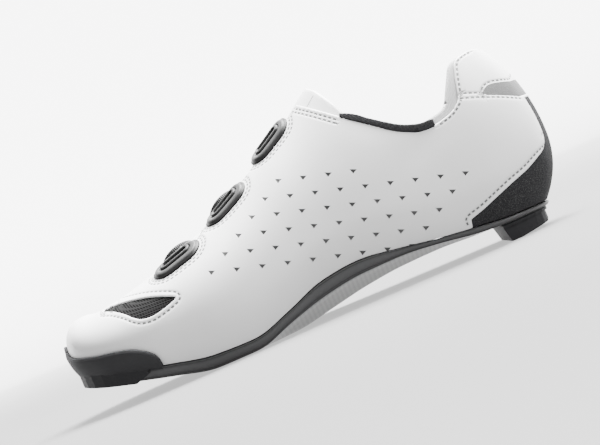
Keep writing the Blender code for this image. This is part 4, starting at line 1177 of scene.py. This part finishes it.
class Outlines:
    """The side-view and plan outlines of the shoe, made smooth."""

    def __init__(self, last: Last) -> None:
        """Work out every outline once."""
        far = float(place_x(BEYOND))
        self.collar_edge = smooth_line(side_outline(COLLAR_EDGE, HEEL_HEIGHT))
        self.collar_top = smooth_line(side_outline(COLLAR_TOP, HEEL_HEIGHT))
        self.tab_seam = smooth_line(side_outline(TAB_SEAM, HEEL_HEIGHT), 4)
        top = side_outline([EYESTAY_TOP], INSTEP_HEIGHT)[0]
        lead = np.array([[top[0] - 0.004, ABOVE], top + (-0.004, 0.004), top])
        close = np.array([[far, self.collar_edge[-1][1]], [far, ABOVE]])
        self.collar = np.concatenate([lead, self.collar_edge, close])
        self.vent = smooth_line(side_outline(VENT_EDGE, TOE_HEIGHT), closed=True)
        self.counter = side_outline(COUNTER_EDGE, HEEL_HEIGHT)
        self.patch = smooth_line(side_outline(PATCH_EDGE[:5], HEEL_HEIGHT), 4)
        self.patch = np.concatenate([self.patch, side_outline(PATCH_EDGE[5:], HEEL_HEIGHT)])
        guard = side_outline(GUARD_EDGE, TOE_HEIGHT)
        self.guard = np.concatenate([guard[:1], smooth_line(guard[1:9], 5), guard[9:]])
        self.throat = self.throat_outline(last)

    @staticmethod
    def throat_outline(last: Last) -> Array:
        """Return the throat in plan: a round nose, then scalloped sides."""
        front = float(place_x(THROAT_FRONT))
        back = float(place_x(EYESTAY_TOP[0])) + 0.06
        nose_x = front + THROAT_HALF_WIDTH
        angles = np.linspace(math.pi, math.pi / 2, 12)
        pitch = (CLOSURES[2][0] - CLOSURES[0][0]) / 2 * LENGTH
        first = float(place_x(CLOSURES[0][0]))
        xs = np.linspace(nose_x + 0.001, back, 110)
        sway = SCALLOP * (1 - np.cos(2 * math.pi * (xs - first) / pitch)) / 2
        x = np.concatenate([nose_x + THROAT_HALF_WIDTH * np.cos(angles), xs])
        y = np.concatenate([THROAT_HALF_WIDTH * np.sin(angles), THROAT_HALF_WIDTH + sway])
        centre = last.ridge("ridge_y", x)
        return np.concatenate([np.stack([x, centre + y], 1),
                               np.stack([x, centre - y], 1)[:0:-1]])


def counter_distance(patch: Patch, outlines: Outlines) -> Array:
    """Return the distance inside the heel counter with its strip up the back.

    The two distances are joined softly: soft times the log of a sum of exponentials.
    """
    body = inside_distance(patch.points[:, [0, 2]], outlines.counter)
    middle, front, soft, trim, far = 0.0008, 0.90, 0.004, 0.0004, -0.02
    strip = np.minimum(STRIP_HALF - np.abs(patch.points[:, 1] - middle),
                       COUNTER_TOP * HEEL_HEIGHT - patch.points[:, 2])
    strip = np.minimum(strip, patch.points[:, 0] - place_x(front))
    mixed = soft * np.log(np.exp(body / soft) + np.exp(strip / soft))
    return np.where(np.maximum(body, strip) < far, far, mixed - trim)


@dataclass
class Upper:
    """The white hollow upper with its cut edges, seams, inlays and vents.

    Attributes:
        last: The surface it follows.
        outlines: Where it is cut.
        seats: Places of guides and dials.
    """

    last: Last
    outlines: Outlines
    seats: list[Seat]

    def build(self) -> None:
        """Make the skin, its inner face, the counter, the patch and the meshes."""
        fine = self.last.grid(COLUMNS, ROWS)
        skin = self.cut(fine, True)
        skin.fields["seam_a"] = seam_field(skin, self.rows_a())
        skin.fields["seam_b"] = seam_field(skin, self.rows_b())
        open_edge = skin.fields["up"] > 1e-6
        skin = skin.moved(self.relief(skin)).folded(WALL * 0.9, 0.5, 4, open_edge)
        item = skin.build("upper_skin", WHITE)
        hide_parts("upper")
        coarse = self.last.grid(*COARSE)
        inside = self.cut(coarse, False).moved(-WALL).flipped()
        inside.build("upper_inside", INNER_WHITE)
        self.inlays(fine)

    def cut(self, grid: Patch, inlays: bool) -> Patch:
        """Cut collar, throat and vents, and where asked the inlaid panels."""
        patch = grid.clipped(-inside_distance(lagged(grid.points), self.outlines.collar))
        plan = inside_distance(patch.points[:, :2], self.outlines.throat)
        plan = np.where(patch.points[:, 2] > TOE_HEIGHT * 0.6, plan, -0.01)
        patch = patch.clipped(-plan)
        patch = patch.clipped(-self.vent_distance(patch))
        if inlays:
            patch = patch.clipped(-counter_distance(patch, self.outlines))
            patch = patch.clipped(-inside_distance(patch.points[:, [0, 2]], self.outlines.patch))
        return patch

    def vent_distance(self, patch: Patch) -> Array:
        """Return the distance inside either vent, kept off the ridge."""
        side = inside_distance(patch.points[:, [0, 2]], self.outlines.vent)
        ridge = self.last.ridge("ridge_y", patch.points[:, 0], *VENT_RIDGE)
        return np.minimum(side, np.abs(patch.points[:, 1] - ridge) - OFF_RIDGE)

    def relief(self, patch: Patch) -> Array:
        """Return soft forms of the wall: raised seams, the tab's step and troughs."""
        side = patch.points[:, [0, 2]]
        near = np.abs(patch.fields["seam_a"][:, 1])
        height = -0.12 * MM * np.exp(-0.5 * (near / 0.9) ** 2)
        tab = inside_distance(side, self.tab_outline())
        height -= 0.45 * MM * smoothstep(-0.0004, 0.0006, tab)
        for x, z, wide, tall, slant, depth in TROUGHS:
            dx, dz = side[:, 0] - x, side[:, 1] - z
            u = dx * math.cos(slant) + dz * math.sin(slant)
            v = dz * math.cos(slant) - dx * math.sin(slant)
            height -= depth * MM * np.exp(-0.5 * (u / wide) ** 2 - 0.5 * (v / tall) ** 2)
        return height

    def tab_outline(self) -> Array:
        """Return the side-view outline of the heel tab above its seam."""
        seam = self.outlines.tab_seam
        far = float(place_x(BEYOND))
        front = seam[0][0] - 0.003
        return np.concatenate([[[front, seam[0][1] + 0.002]], seam,
                               [[far, seam[-1][1]], [far, ABOVE], [front, ABOVE]]])

    def rows_a(self) -> list[tuple[Array, bool]]:
        """Return the inner stitch rows: vents, guides, counter and tab seam."""
        counter = smooth_line(self.outlines.counter[1:9] + COUNTER_ROW, 4)
        tab = self.outlines.tab_seam + (0, TAB_ROWS[0])
        rows = ((grown(self.outlines.vent, VENT_ROW), True), (counter, False), (tab, False),
                (self.eyestay_line(EYESTAY_ROWS[0]), False))
        lines = [(self.last.side_line(row, side)[0], closed)
                 for side in Side for row, closed in rows]
        return lines + self.guide_rows(INNER_ROW) + [self.strip_row()]

    def rows_b(self) -> list[tuple[Array, bool]]:
        """Return the outer stitch rows: guides, eyestay top, tab seam and patch."""
        tab = self.outlines.tab_seam[:9] + (0, TAB_ROWS[1])
        patch = grown(self.outlines.patch, PATCH_ROW)[:18]
        rows = (tab, patch, self.eyestay_line(EYESTAY_ROWS[1]), self.lining_row())
        return self.guide_rows(OUTER_ROW) + [(self.last.side_line(row, side)[0], False)
                                             for side in Side for row in rows]

    def guide_rows(self, distance: float) -> list[tuple[Array, bool]]:
        """Return a row for each side: round every guide's outer half, dipping in between."""
        angles = np.radians(np.linspace(205, -25, 56))
        outline = racetrack(GUIDE_LENGTH + 2 * distance, GUIDE_WIDTH + 2 * distance, angles)
        rows = []
        for side in Side:
            arcs = [seat.places(self.last, outline @ np.diag([1.0, -seat.inward_sign]))[0]
                    for seat in self.seats if seat.side is side]
            rows.append((smooth_line(np.concatenate(arcs), 2), False))
        return rows

    @staticmethod
    def eyestay_line(distance: float) -> Array:
        """Return a side-view line under the cut edge at the top of the eyestay."""
        top = side_outline([EYESTAY_TOP], INSTEP_HEIGHT)[0]
        low = side_outline(COLLAR_EDGE[:1], HEEL_HEIGHT)[0]
        ahead = unit(low - top)
        normal = np.array([ahead[1], -ahead[0]])
        line = np.linspace(top - ahead * 0.002, low - ahead * 0.002, 12)
        return line + normal * distance

    def lining_row(self) -> Array:
        """Return the row just behind the cut edge along the lining, up to the tab's top."""
        edge = self.outlines.collar_edge
        edge = edge[(edge[:, 0] > place_x(0.806)) & (edge[:, 0] < place_x(0.925))]
        ahead = unit(np.gradient(edge, axis=0))
        return edge + np.stack([ahead[:, 1], -ahead[:, 0]], axis=1) * LINING_ROW

    def strip_row(self) -> tuple[Array, bool]:
        """Return the row up both sides of the strip on the back of the heel."""
        z = np.linspace(0.42, COUNTER_TOP, 14) * HEEL_HEIGHT
        off = STRIP_HALF + STRIP_ROW
        plan = np.concatenate([np.stack([np.full_like(z, -off), z], 1),
                               np.stack([np.full_like(z, off), z[::-1]], 1)])
        axes = np.array([[0, 1.0, 0], [0, 0, 1.0]])
        medial = self.last.locate(plan[:14], Side.MEDIAL, axes, np.zeros(3))
        lateral = self.last.locate(plan[14:], Side.LATERAL, axes, np.zeros(3))
        found = np.concatenate([medial, lateral])
        places = self.last.point(found[:, 0], found[:, 1])
        return places[places[:, 0] > place_x(0.9)], False

    def inlays(self, fine: Patch) -> None:
        """Make counter, patch and vent meshes just under the skin's edges."""
        counter = fine.clipped(counter_distance(fine, self.outlines) + LAP)
        item = counter.moved(-COUNTER_DEPTH).build("counter_panel", MICROFIBRE)
        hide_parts("heel_counter")
        inside = inside_distance(fine.points[:, [0, 2]], self.outlines.patch)
        item = fine.clipped(inside + LAP).moved(-FILM_DEPTH).build("patch_panel", FILM)
        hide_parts("heel_patch")
        mesh = fine.clipped(self.vent_distance(fine) + LAP)
        ridge = self.last.ridge("ridge_y", mesh.points[:, 0], *VENT_RIDGE)
        for name, sign in (("medial", -1.0), ("lateral", 1.0)):
            panel = mesh.clipped((mesh.points[:, 1] - ridge) * sign - LAP)
            item = panel.moved(-MESH_DEPTH).build(f"vent_{name}", MESH)
            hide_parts(f"vent_mesh_{name}")


# Soft troughs of the wall: centre x and z, half sizes along and across in metres, slant
# in radians and depth in mm
TROUGHS = (
    (-0.020, 0.036, 0.016, 0.0040, 1.05, 0.35),
    (-0.006, 0.040, 0.016, 0.0036, 1.20, 0.25),
    (-0.031, 0.030, 0.012, 0.0030, 0.80, 0.20),
    (0.086, 0.050, 0.030, 0.0100, 0.10, 0.30),
    (0.131, 0.066, 0.010, 0.0050, 0.40, 0.35),
    (0.108, 0.088, 0.010, 0.0040, -0.60, 0.25),
    (0.170, 0.052, 0.012, 0.0060, 1.30, 0.25),
)


@dataclass
class Collar:
    """The knit binding and the padded lining along the collar.

    Attributes:
        last: The surface they follow.
        outlines: Where they begin and end.
    """

    last: Last
    outlines: Outlines

    def build(self) -> None:
        """Make the lining pad and the two binding strips."""
        grid = self.last.grid(400, 110)
        side = lagged(grid.points)
        top = self.outlines.collar_top
        far = float(place_x(BEYOND))
        front = float(place_x(0.655))
        keep = top[top[:, 0] > front]
        low = 0.50 * HEEL_HEIGHT
        outline = np.concatenate([[[front, keep[0][1]]], keep, [[far, keep[-1][1]], [far, low],
                                  [float(place_x(0.640)), low]]])
        outer = -WALL - GAP
        pad = grid.clipped(inside_distance(side, outline) - 0.0002)
        edge = inside_distance(lagged(pad.points), outline)
        puff = LINING_SWELL * smoothstep(0.0, 0.006, edge)
        item = pad.slab(outer, outer - LINING_THICK - puff, 0.9, 8).build("lining_pad", LINING)
        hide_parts("collar_lining")
        self.binding(grid)

    def binding(self, grid: Patch) -> None:
        """Make one dark strip for each side, rolled over the cut edge."""
        edge, top = self.outlines.collar_edge, self.outlines.collar_top
        end = float(place_x(BINDING_END)) - GAP
        low = edge[edge[:, 0] < end] + (0, 0.0001)
        high = top[top[:, 0] < end]
        outline = np.concatenate([low, [[end, low[-1][1]], [end, high[-1][1]]], high[::-1]])
        strip = grid.clipped(inside_distance(grid.points[:, [0, 2]], outline))
        for name, sign in (("medial", -1.0), ("lateral", 1.0)):
            part = strip.clipped(strip.points[:, 1] * sign)
            item = part.slab(0.3 * MM, -1.1 * WALL, 0.5, 8).build(f"binding_{name}", BINDING)
            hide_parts(f"collar_binding_{name}")


@dataclass
class Tongue:
    """The padded tongue under the eyestays.

    Attributes:
        last: The surface it follows.
    """

    last: Last

    def build(self) -> None:
        """Make the tongue as one closed pad with a round rim."""
        grid = self.last.grid(360, 120)
        rim = smooth_line(side_outline(TONGUE_RIM, INSTEP_HEIGHT))
        front = float(place_x(TONGUE_FRONT))
        low = TOE_HEIGHT * 0.8
        outline = np.concatenate([[[front, ABOVE]], rim, [[rim[-1][0] - 0.02, low], [front, low]]])
        pad = grid.clipped(inside_distance(grid.points[:, [0, 2]], outline))
        ridge = self.last.ridge("ridge_y", pad.points[:, 0])
        reach = TONGUE_HALF_WIDTH * np.interp(pad.points[:, 0], [front, 0.0, place_x(0.70)],
                                              [0.8, 1.0, 1.4])
        pad = pad.clipped(reach - np.abs(pad.points[:, 1] - ridge))
        outer = -WALL - GAP
        item = pad.slab(outer, outer - TONGUE_THICK, 0.8, 8).build("tongue_pad", TONGUE_SKIN)
        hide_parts("tongue")
        self.seams(outer)

    def seams(self, offset: float) -> None:
        """Sink a dark seam across each half of the tongue, a thin cord on its skin."""
        for side in Side:
            line = np.linspace(*TONGUE_SEAM, 12)
            place, normal = self.last.side_line(line, side)
            cord = tube(place + normal * (offset - 0.1 * MM), 0.25 * MM, 8)
            cord.build(f"tongue_seam_{side.name.lower()}", SEAM)


@dataclass
class Sole:
    """Plate, pads, toe guard and insole.

    Attributes:
        last: The surface they follow.
        outlines: Where the guard ends.
    """

    last: Last
    outlines: Outlines

    def build(self) -> None:
        """Make the plate and the guard and finish the rest."""
        self.plate()
        self.guard()
        self.pads()

    def plate(self) -> None:
        """Make the plate: rounded side wall with two fine grooves, twill underside."""
        w = np.arange(COLUMNS) * TURNS / COLUMNS
        get = self.last.loop
        x, y, z, nx, ny, edge, keel = (get(n, w) for n in
                                       ("x", "y", "z", "nx", "ny", "edge_z", "keel_z"))
        spine = np.clip(np.minimum(w, TURNS - w), SPINE_START, LAST - SPINE_START)
        mid_x = (get("x", spine) + get("x", -spine)) / 2
        mid_y = (get("y", spine) + get("y", -spine)) / 2
        top = z - GAP
        rings, under, tones_and_shades = [], [], []
        # Each ring's brightness paints shadow under the upper, shade in the grooves and reflection
        # where the wall turns under
        for out, drop, tone_and_shade in SOLE_PROFILE:
            height = top + (edge - top) * drop
            low = np.maximum(height, keel)
            rings.append(np.stack([x + nx * out * MM, y + ny * out * MM, low], axis=1))
            under.append(0.0)
            tones_and_shades.append(tone_and_shade)
        last_ring = rings[-1]
        low = last_ring[:, 2]
        for share in np.linspace(0.03, 1.0, 18):
            flat = min(share / 0.45, 1.0)
            ease = flat * flat * (3 - 2 * flat)
            rings.append(np.stack([
                last_ring[:, 0] + (mid_x - last_ring[:, 0]) * share,
                last_ring[:, 1] + (mid_y - last_ring[:, 1]) * share,
                low + (np.minimum(keel, low) - low) * ease], axis=1))
            under.append(float(share > 0.05))
            tones_and_shades.append(1.0)
        skin = lofted(rings, {"under": np.array(under), "tone_and_shade": np.array(tones_and_shades)})
        skin = Patch(skin.points, skin.normals, skin.faces[:, ::-1], skin.fields)
        item = skin.build("sole_plate", SOLE)
        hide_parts("outsole")

    def guard(self) -> None:
        """Make the bumper round the toe: a thick skin with soft edges."""
        grid = self.last.grid(900, 100)
        part = grid.clipped(inside_distance(grid.points[:, [0, 2]], self.outlines.guard))
        edge = inside_distance(part.points[:, [0, 2]], self.outlines.guard)
        soft = 0.6 * MM * (1 - smoothstep(0.0, 0.0012, edge))
        mould = 0.15 * MM * np.sin(part.points[:, 0] / MM * 0.45) * smoothstep(0.001, 0.004, edge)
        part = part.moved(GUARD_THICK - soft + mould).folded(GUARD_FOLD, 0.2, 4)
        item = part.build("guard_skin", GUARD_RUBBER)
        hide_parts("toe_guard")

    @staticmethod
    def pads() -> None:
        """Round the pads' corners and give pads and insole their finishes."""
        for name, finish in (("toe_pad", RUBBER), ("heel_pad", RUBBER), ("insole", INSOLE)):
            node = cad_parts[name]
            node.data.materials.clear()
            node.data.materials.append(finish.material())
            if name != "insole":
                soft = node.modifiers.new("round", "BEVEL")
                soft.width = 0.5 * MM
                soft.segments = 3
                soft.angle_limit = math.radians(35)


# Side wall of the plate: distance out in mm, share of the way from top to edge, and brightness. The
# dark values just under the upper are painted shadow, those in the two fine grooves painted shade,
# and the darker band where the wall turns under painted reflection; the rest is the wall's own dark
# colour
SOLE_PROFILE = (
    (-1.6, 0.00, 0.2), (-0.4, 0.00, 0.2), (0.1, 0.015, 0.2), (0.35, 0.05, 0.3),
    (0.42, 0.08, 0.9), (0.40, 0.11, 1.0), (0.20, 0.14, 0.3), (0.18, 0.17, 0.3),
    (0.30, 0.21, 1.0), (0.20, 0.40, 1.0), (-0.05, 0.60, 0.9), (-0.35, 0.76, 0.8),
    (-0.62, 0.80, 0.2), (-0.64, 0.83, 0.2), (-0.50, 0.87, 0.5), (-0.75, 0.93, 0.4),
    (-1.25, 0.98, 0.3), (-1.9, 1.00, 0.3), (-2.6, 1.00, 0.6),
)


@dataclass
class Closure:
    """Guides, dials and laces.

    Attributes:
        last: The surface they sit on.
        near: Seats of the inner guides.
        far: Seats of what faces them.
    """

    last: Last
    near: list[Seat]
    far: list[Seat]

    def build(self) -> None:
        """Make every fitting and run the laces through them."""
        for number, (near, far) in enumerate(zip(self.near, self.far), start=1):
            self.guide(number, near)
            if number < len(self.near):
                self.dial(number, far)
            else:
                self.guide(number + 1, far)
            self.lace(number, near, far)

    def guide(self, number: int, seat: Seat) -> None:
        """Make an oblong guide from insets and heights: flange, band, ring and slot."""
        rings, tones_and_shades = [], []
        # Each ring's value paints shade into the groove inside the band, into the slot and down the
        # sides of band and ring
        for inset, height, tone_and_shade in GUIDE_PROFILE:
            flat = racetrack(GUIDE_LENGTH - 2 * inset * MM, GUIDE_WIDTH - 2 * inset * MM)
            place, normal = seat.places(self.last, flat)
            rings.append(place + normal * height * MM)
            tones_and_shades.append(tone_and_shade)
        item = self.skin(rings, tones_and_shades, seat).build(f"guide_{number}", GUIDE)
        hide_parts(f"lace_guide_{number}")

    @staticmethod
    def skin(rings: list[Array], tones_and_shades: list[float], seat: Seat) -> Patch:
        """Join rings into a skin whose faces turn away from the shoe."""
        made = lofted(rings, {"tone_and_shade": np.array(tones_and_shades)})
        a, b, c = (made.points[made.faces[:, k]] for k in range(3))
        if float(np.sum(np.cross(b - a, c - a) @ seat.normal)) < 0:
            return Patch(made.points, made.normals, made.faces[:, ::-1], made.fields)
        return made

    def dial(self, number: int, seat: Seat) -> None:
        """Make base and knob as turned forms, the knob's side ribbed for grip."""
        angles = np.linspace(0, 2 * math.pi, 480, endpoint=False)
        for name, profile, knurl in (("dial_base", BASE_PROFILE, 0.0),
                                     ("dial_knob", KNOB_PROFILE, 0.22)):
            rings, tones_and_shades = [], []
            for radius, height, tone_and_shade, ribs in profile:
                wave = radius - knurl * ribs * (0.5 + 0.5 * np.cos(angles * 60)) ** 0.6
                flat = np.stack([wave * np.cos(angles), wave * np.sin(angles)], axis=1) * MM
                if height < 0:
                    rings.append(seat.places(self.last, flat)[0])
                else:
                    rings.append(seat.origin + flat[:, :1] * seat.along
                                 + flat[:, 1:] * seat.across + seat.normal * height * MM)
                tones_and_shades.append(tone_and_shade)
            item = self.skin(rings, tones_and_shades, seat).build(f"{name}_look_{number}", DIAL)
            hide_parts(f"{name}_{number}")

    def lace(self, number: int, near: Seat, far: Seat) -> None:
        """Run a lace from the far fitting over the tongue, through the slot and back."""
        spread = 0.0045
        reach = 0.0095 if number == len(self.near) else 0.0110
        corner = np.linspace(0, math.pi, 13)
        turn = np.stack([spread * np.cos(corner), 0.001 - 0.0012 * np.sin(corner)], axis=1)
        start, normal = near.places(self.last, turn @ np.diag([1.0, near.inward_sign]))
        start = start + normal * 0.8 * MM
        ends = [far.origin + far.along * spread * s - far.normal * 0.2 * MM
                + self.inwards(far) * (reach - 0.002) for s in (1, -1)]
        flat = np.array([[spread * s, 0.0090 * near.inward_sign] for s in (1, -1)])
        place, normal = near.places(self.last, flat)
        sides = list(place + normal * 0.7 * MM)
        over = [far.origin + far.along * spread * s + self.inwards(far) * (reach + 0.0012)
                + far.normal * 1.4 * MM for s in (1, -1)]
        rise = [self.arc(a, b) for a, b in zip(over, sides)]
        path = np.concatenate([[ends[0]], rise[0], start, rise[1][::-1], [ends[1]]])
        item = tube(smooth_line(path, 4), 0.6 * MM).build(f"lace_run_{number}", LACE)
        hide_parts(f"lace_{number}")

    def inwards(self, seat: Seat) -> Array:
        """Return the direction in the surface from a seat towards the throat."""
        return seat.across * seat.inward_sign

    def arc(self, start: Array, end: Array) -> Array:
        """Return a line from start to end that clears the tongue's crown."""
        share = np.linspace(0, 1, 9)[:, None]
        line = start + (end - start) * share
        crown = self.last.ridge("ridge_z", line[:, 0])
        ridge = self.last.ridge("ridge_y", line[:, 0])
        fall = (line[:, 1] - ridge) ** 2 * 9.0
        line[:, 2] = np.maximum(line[:, 2], crown - fall + 0.3 * MM)
        return line


# Guide: inset and height in mm, and brightness. The bright band and the dimmer ring inside it are
# the guide's own two colours; the values falling off down their sides and the near-black groove and
# slot are painted shade
GUIDE_PROFILE = (
    (-0.1, -0.3, 0.06), (0.0, 0.5, 0.06), (0.2, 0.85, 0.06), (1.2, 0.95, 0.08),
    (1.35, 1.1, 0.60), (1.6, 1.6, 0.95), (2.2, 2.0, 1.0), (3.2, 2.15, 1.0), (4.5, 1.95, 0.95),
    (4.8, 1.5, 0.50), (4.95, 0.9, 0.03), (5.35, 0.9, 0.03), (5.5, 2.0, 0.20), (5.75, 2.6, 0.42),
    (6.4, 2.9, 0.48), (7.0, 2.8, 0.42), (7.4, 2.3, 0.12), (7.7, 0.9, 0.02), (8.6, 0.3, 0.02),
    (9.45, 0.3, 0.02),
)

# Turned forms: radius and height in mm, tone, and share of the ribs; a height below
# nought means on the surface
BASE_PROFILE = (
    (12.6, -1, 0.06, 0), (12.6, 0.9, 0.06, 0), (12.3, 1.5, 0.08, 0), (11.6, 2.1, 0.10, 0),
    (10.6, 2.3, 0.08, 0), (9.0, 2.3, 0.05, 0), (0.3, 2.3, 0.05, 0),
)
KNOB_PROFILE = (
    (9.0, 2.35, 0.05, 0), (10.3, 2.4, 0.07, 0), (10.6, 2.7, 0.03, 1), (10.6, 5.6, 0.03, 1),
    (10.5, 6.0, 0.04, 1), (10.0, 6.3, 0.08, 0.3), (9.6, 6.5, 0.95, 0), (9.0, 6.85, 1.0, 0),
    (7.2, 7.05, 1.0, 0), (6.9, 6.8, 0.12, 0), (6.5, 6.6, 0.10, 0), (3.0, 6.7, 0.14, 0),
    (0.2, 6.75, 0.14, 0),
)


# Lights: name, shift of the point looked at, place from that point, size and power
LIGHTS = (
    ("key", (0.0, 0.0, 0.0), (0.46, 0.20, 1.20), 0.9, 400.0),
    ("front", (0.0, 0.0, 0.0), (-0.90, -0.50, 0.75), 0.6, 8.0),
    ("heel", (0.10, 0.0, 0.04), (0.36, -0.40, 0.30), 0.25, 5.0),
    ("rim", (0.0, 0.0, 0.0), (0.10, 0.90, 0.60), 0.7, 6.0),
)


@dataclass(frozen=True)
class Studio:
    """Camera, lights, floor and backdrop.

    Attributes:
        distance: Camera's distance from the middle plane.
        lens: Focal length in mm.
        roll: Camera's roll in degrees.
        middle: The camera's X and Z.
    """

    distance: float = 0.900
    lens: float = 97.8
    roll: float = 23.13
    middle: tuple[float, float] = (0.0570, 0.0542)

    def build(self) -> None:
        """Place the camera, the soft lights and the sweep."""
        self.camera()
        self.lights()
        self.sweep()

    def camera(self) -> None:
        """Place the level, rolled camera on the inner side."""
        data = bpy.data.cameras.new("camera")
        data.lens = self.lens
        data.sensor_width = 36
        item = bpy.data.objects.new("camera", data)
        roll = math.radians(self.roll)
        c, s = math.cos(roll), math.sin(roll)
        x, z = self.middle
        item.matrix_world = Matrix(((c, s, 0, x), (0, 0, -1, -self.distance),
                                    (-s, c, 0, z), (0, 0, 0, 1)))
        bpy.context.scene.collection.objects.link(item)
        bpy.context.scene.camera = item

    @staticmethod
    def light(name: str, place: Array, aim: Array, size: float, power: float) -> None:
        """Place one square soft light that looks at a point."""
        data = bpy.data.lights.new(name, "AREA")
        data.shape = "SQUARE"
        data.size = size
        data.energy = power
        item = bpy.data.objects.new(name, data)
        back = unit(place - aim)
        right = unit(np.cross([0.3, 1.0, 0.1], back))
        up = np.cross(back, right)
        rows = [[right[k], up[k], back[k], place[k]] for k in range(3)] + [[0, 0, 0, 1]]
        item.matrix_world = Matrix(rows)
        bpy.context.scene.collection.objects.link(item)

    def lights(self) -> None:
        """Light from above in the rolled view, with a weak fill, and a pale world."""
        for name, shift, offset, size, power in LIGHTS:
            aim = np.array([0.04, 0.0, 0.05]) + shift
            self.light(name, aim + offset, aim, size, power)
        world = bpy.data.worlds.new("world")
        world.use_nodes = True
        back = world.node_tree.nodes["Background"]
        back.inputs[0].default_value = (1, 1, 1, 1)
        back.inputs[1].default_value = 0.22
        bpy.context.scene.world = world

    @staticmethod
    def sweep() -> None:
        """Make a pale floor that curves up into a backdrop on both sides."""
        turn = np.linspace(0, math.pi / 2, 24)
        depth = np.concatenate([[-3.0], np.linspace(-2.9, 1.5, 12), 1.5 + 1.0 * np.sin(turn),
                                [2.5]])
        height = np.concatenate([[0.0], np.zeros(12), 1.0 * (1 - np.cos(turn)), [5.0]])
        xs = np.linspace(-4.0, 4.0, 20)
        yy, xx = np.meshgrid(depth, xs, indexing="ij")
        zz = np.repeat(height[:, None], len(xs), axis=1)
        points = np.stack([xx, yy, zz - 0.0001], axis=-1).reshape(-1, 3)
        rows, columns = yy.shape
        i, j = np.meshgrid(np.arange(rows - 1), np.arange(columns - 1), indexing="ij")
        a = (i * columns + j).ravel()
        b, c, d = a + 1, a + columns + 1, a + columns
        mesh = bpy.data.meshes.new("sweep")
        mesh.from_pydata(points.tolist(), [], np.stack([a, b, c, d], 1).tolist())
        mesh.shade_smooth()
        made = bpy.data.materials.new("look_sweep")
        made.use_nodes = True
        shader = made.node_tree.nodes["Principled BSDF"]
        shader.inputs["Base Color"].default_value = (0.09, 0.09, 0.09, 1)
        shader.inputs["Roughness"].default_value = 1.0
        shader.inputs["Specular IOR Level"].default_value = 0.0
        shader.inputs["Emission Color"].default_value = (1, 1, 1, 1)
        g = Graph(made.node_tree)
        place = g.node("ShaderNodeTexCoord").outputs["Object"]
        x, y, _ = g.split(place)
        away = g.math("SQRT", g.math("ADD", g.math("MULTIPLY", x, x), g.math("MULTIPLY", y, y)))
        near = g.math("ADD", 0.7, g.math("MULTIPLY", g.step(away, 0.3, 1.6), 2.6))
        far = g.math("MULTIPLY", g.step(y, 1.2, 2.2), 4.0)
        g.tree.links.new(g.math("ADD", near, far), shader.inputs["Emission Strength"])
        mesh.materials.append(made)
        item = bpy.data.objects.new("sweep", mesh)
        bpy.context.scene.collection.objects.link(item)


def main() -> None:
    """Build the shoe's looks from sole to laces, then the studio."""
    logging.basicConfig(level=logging.INFO, format="%(message)s")
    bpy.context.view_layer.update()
    Studio().build()
    last = Last()
    outlines = Outlines(last)
    near = [Seat.at(last, share, offset, Side.MEDIAL) for share, offset, _ in CLOSURES]
    far = [Seat.at(last, share, offset, Side.LATERAL) for share, _, offset in CLOSURES]
    Sole(last, outlines).build()
    Upper(last, outlines, near + far[-1:]).build()
    Tongue(last).build()
    Collar(last, outlines).build()
    Closure(last, near, far).build()
    bpy.context.view_layer.update()


if __name__ == "__main__":
    main()
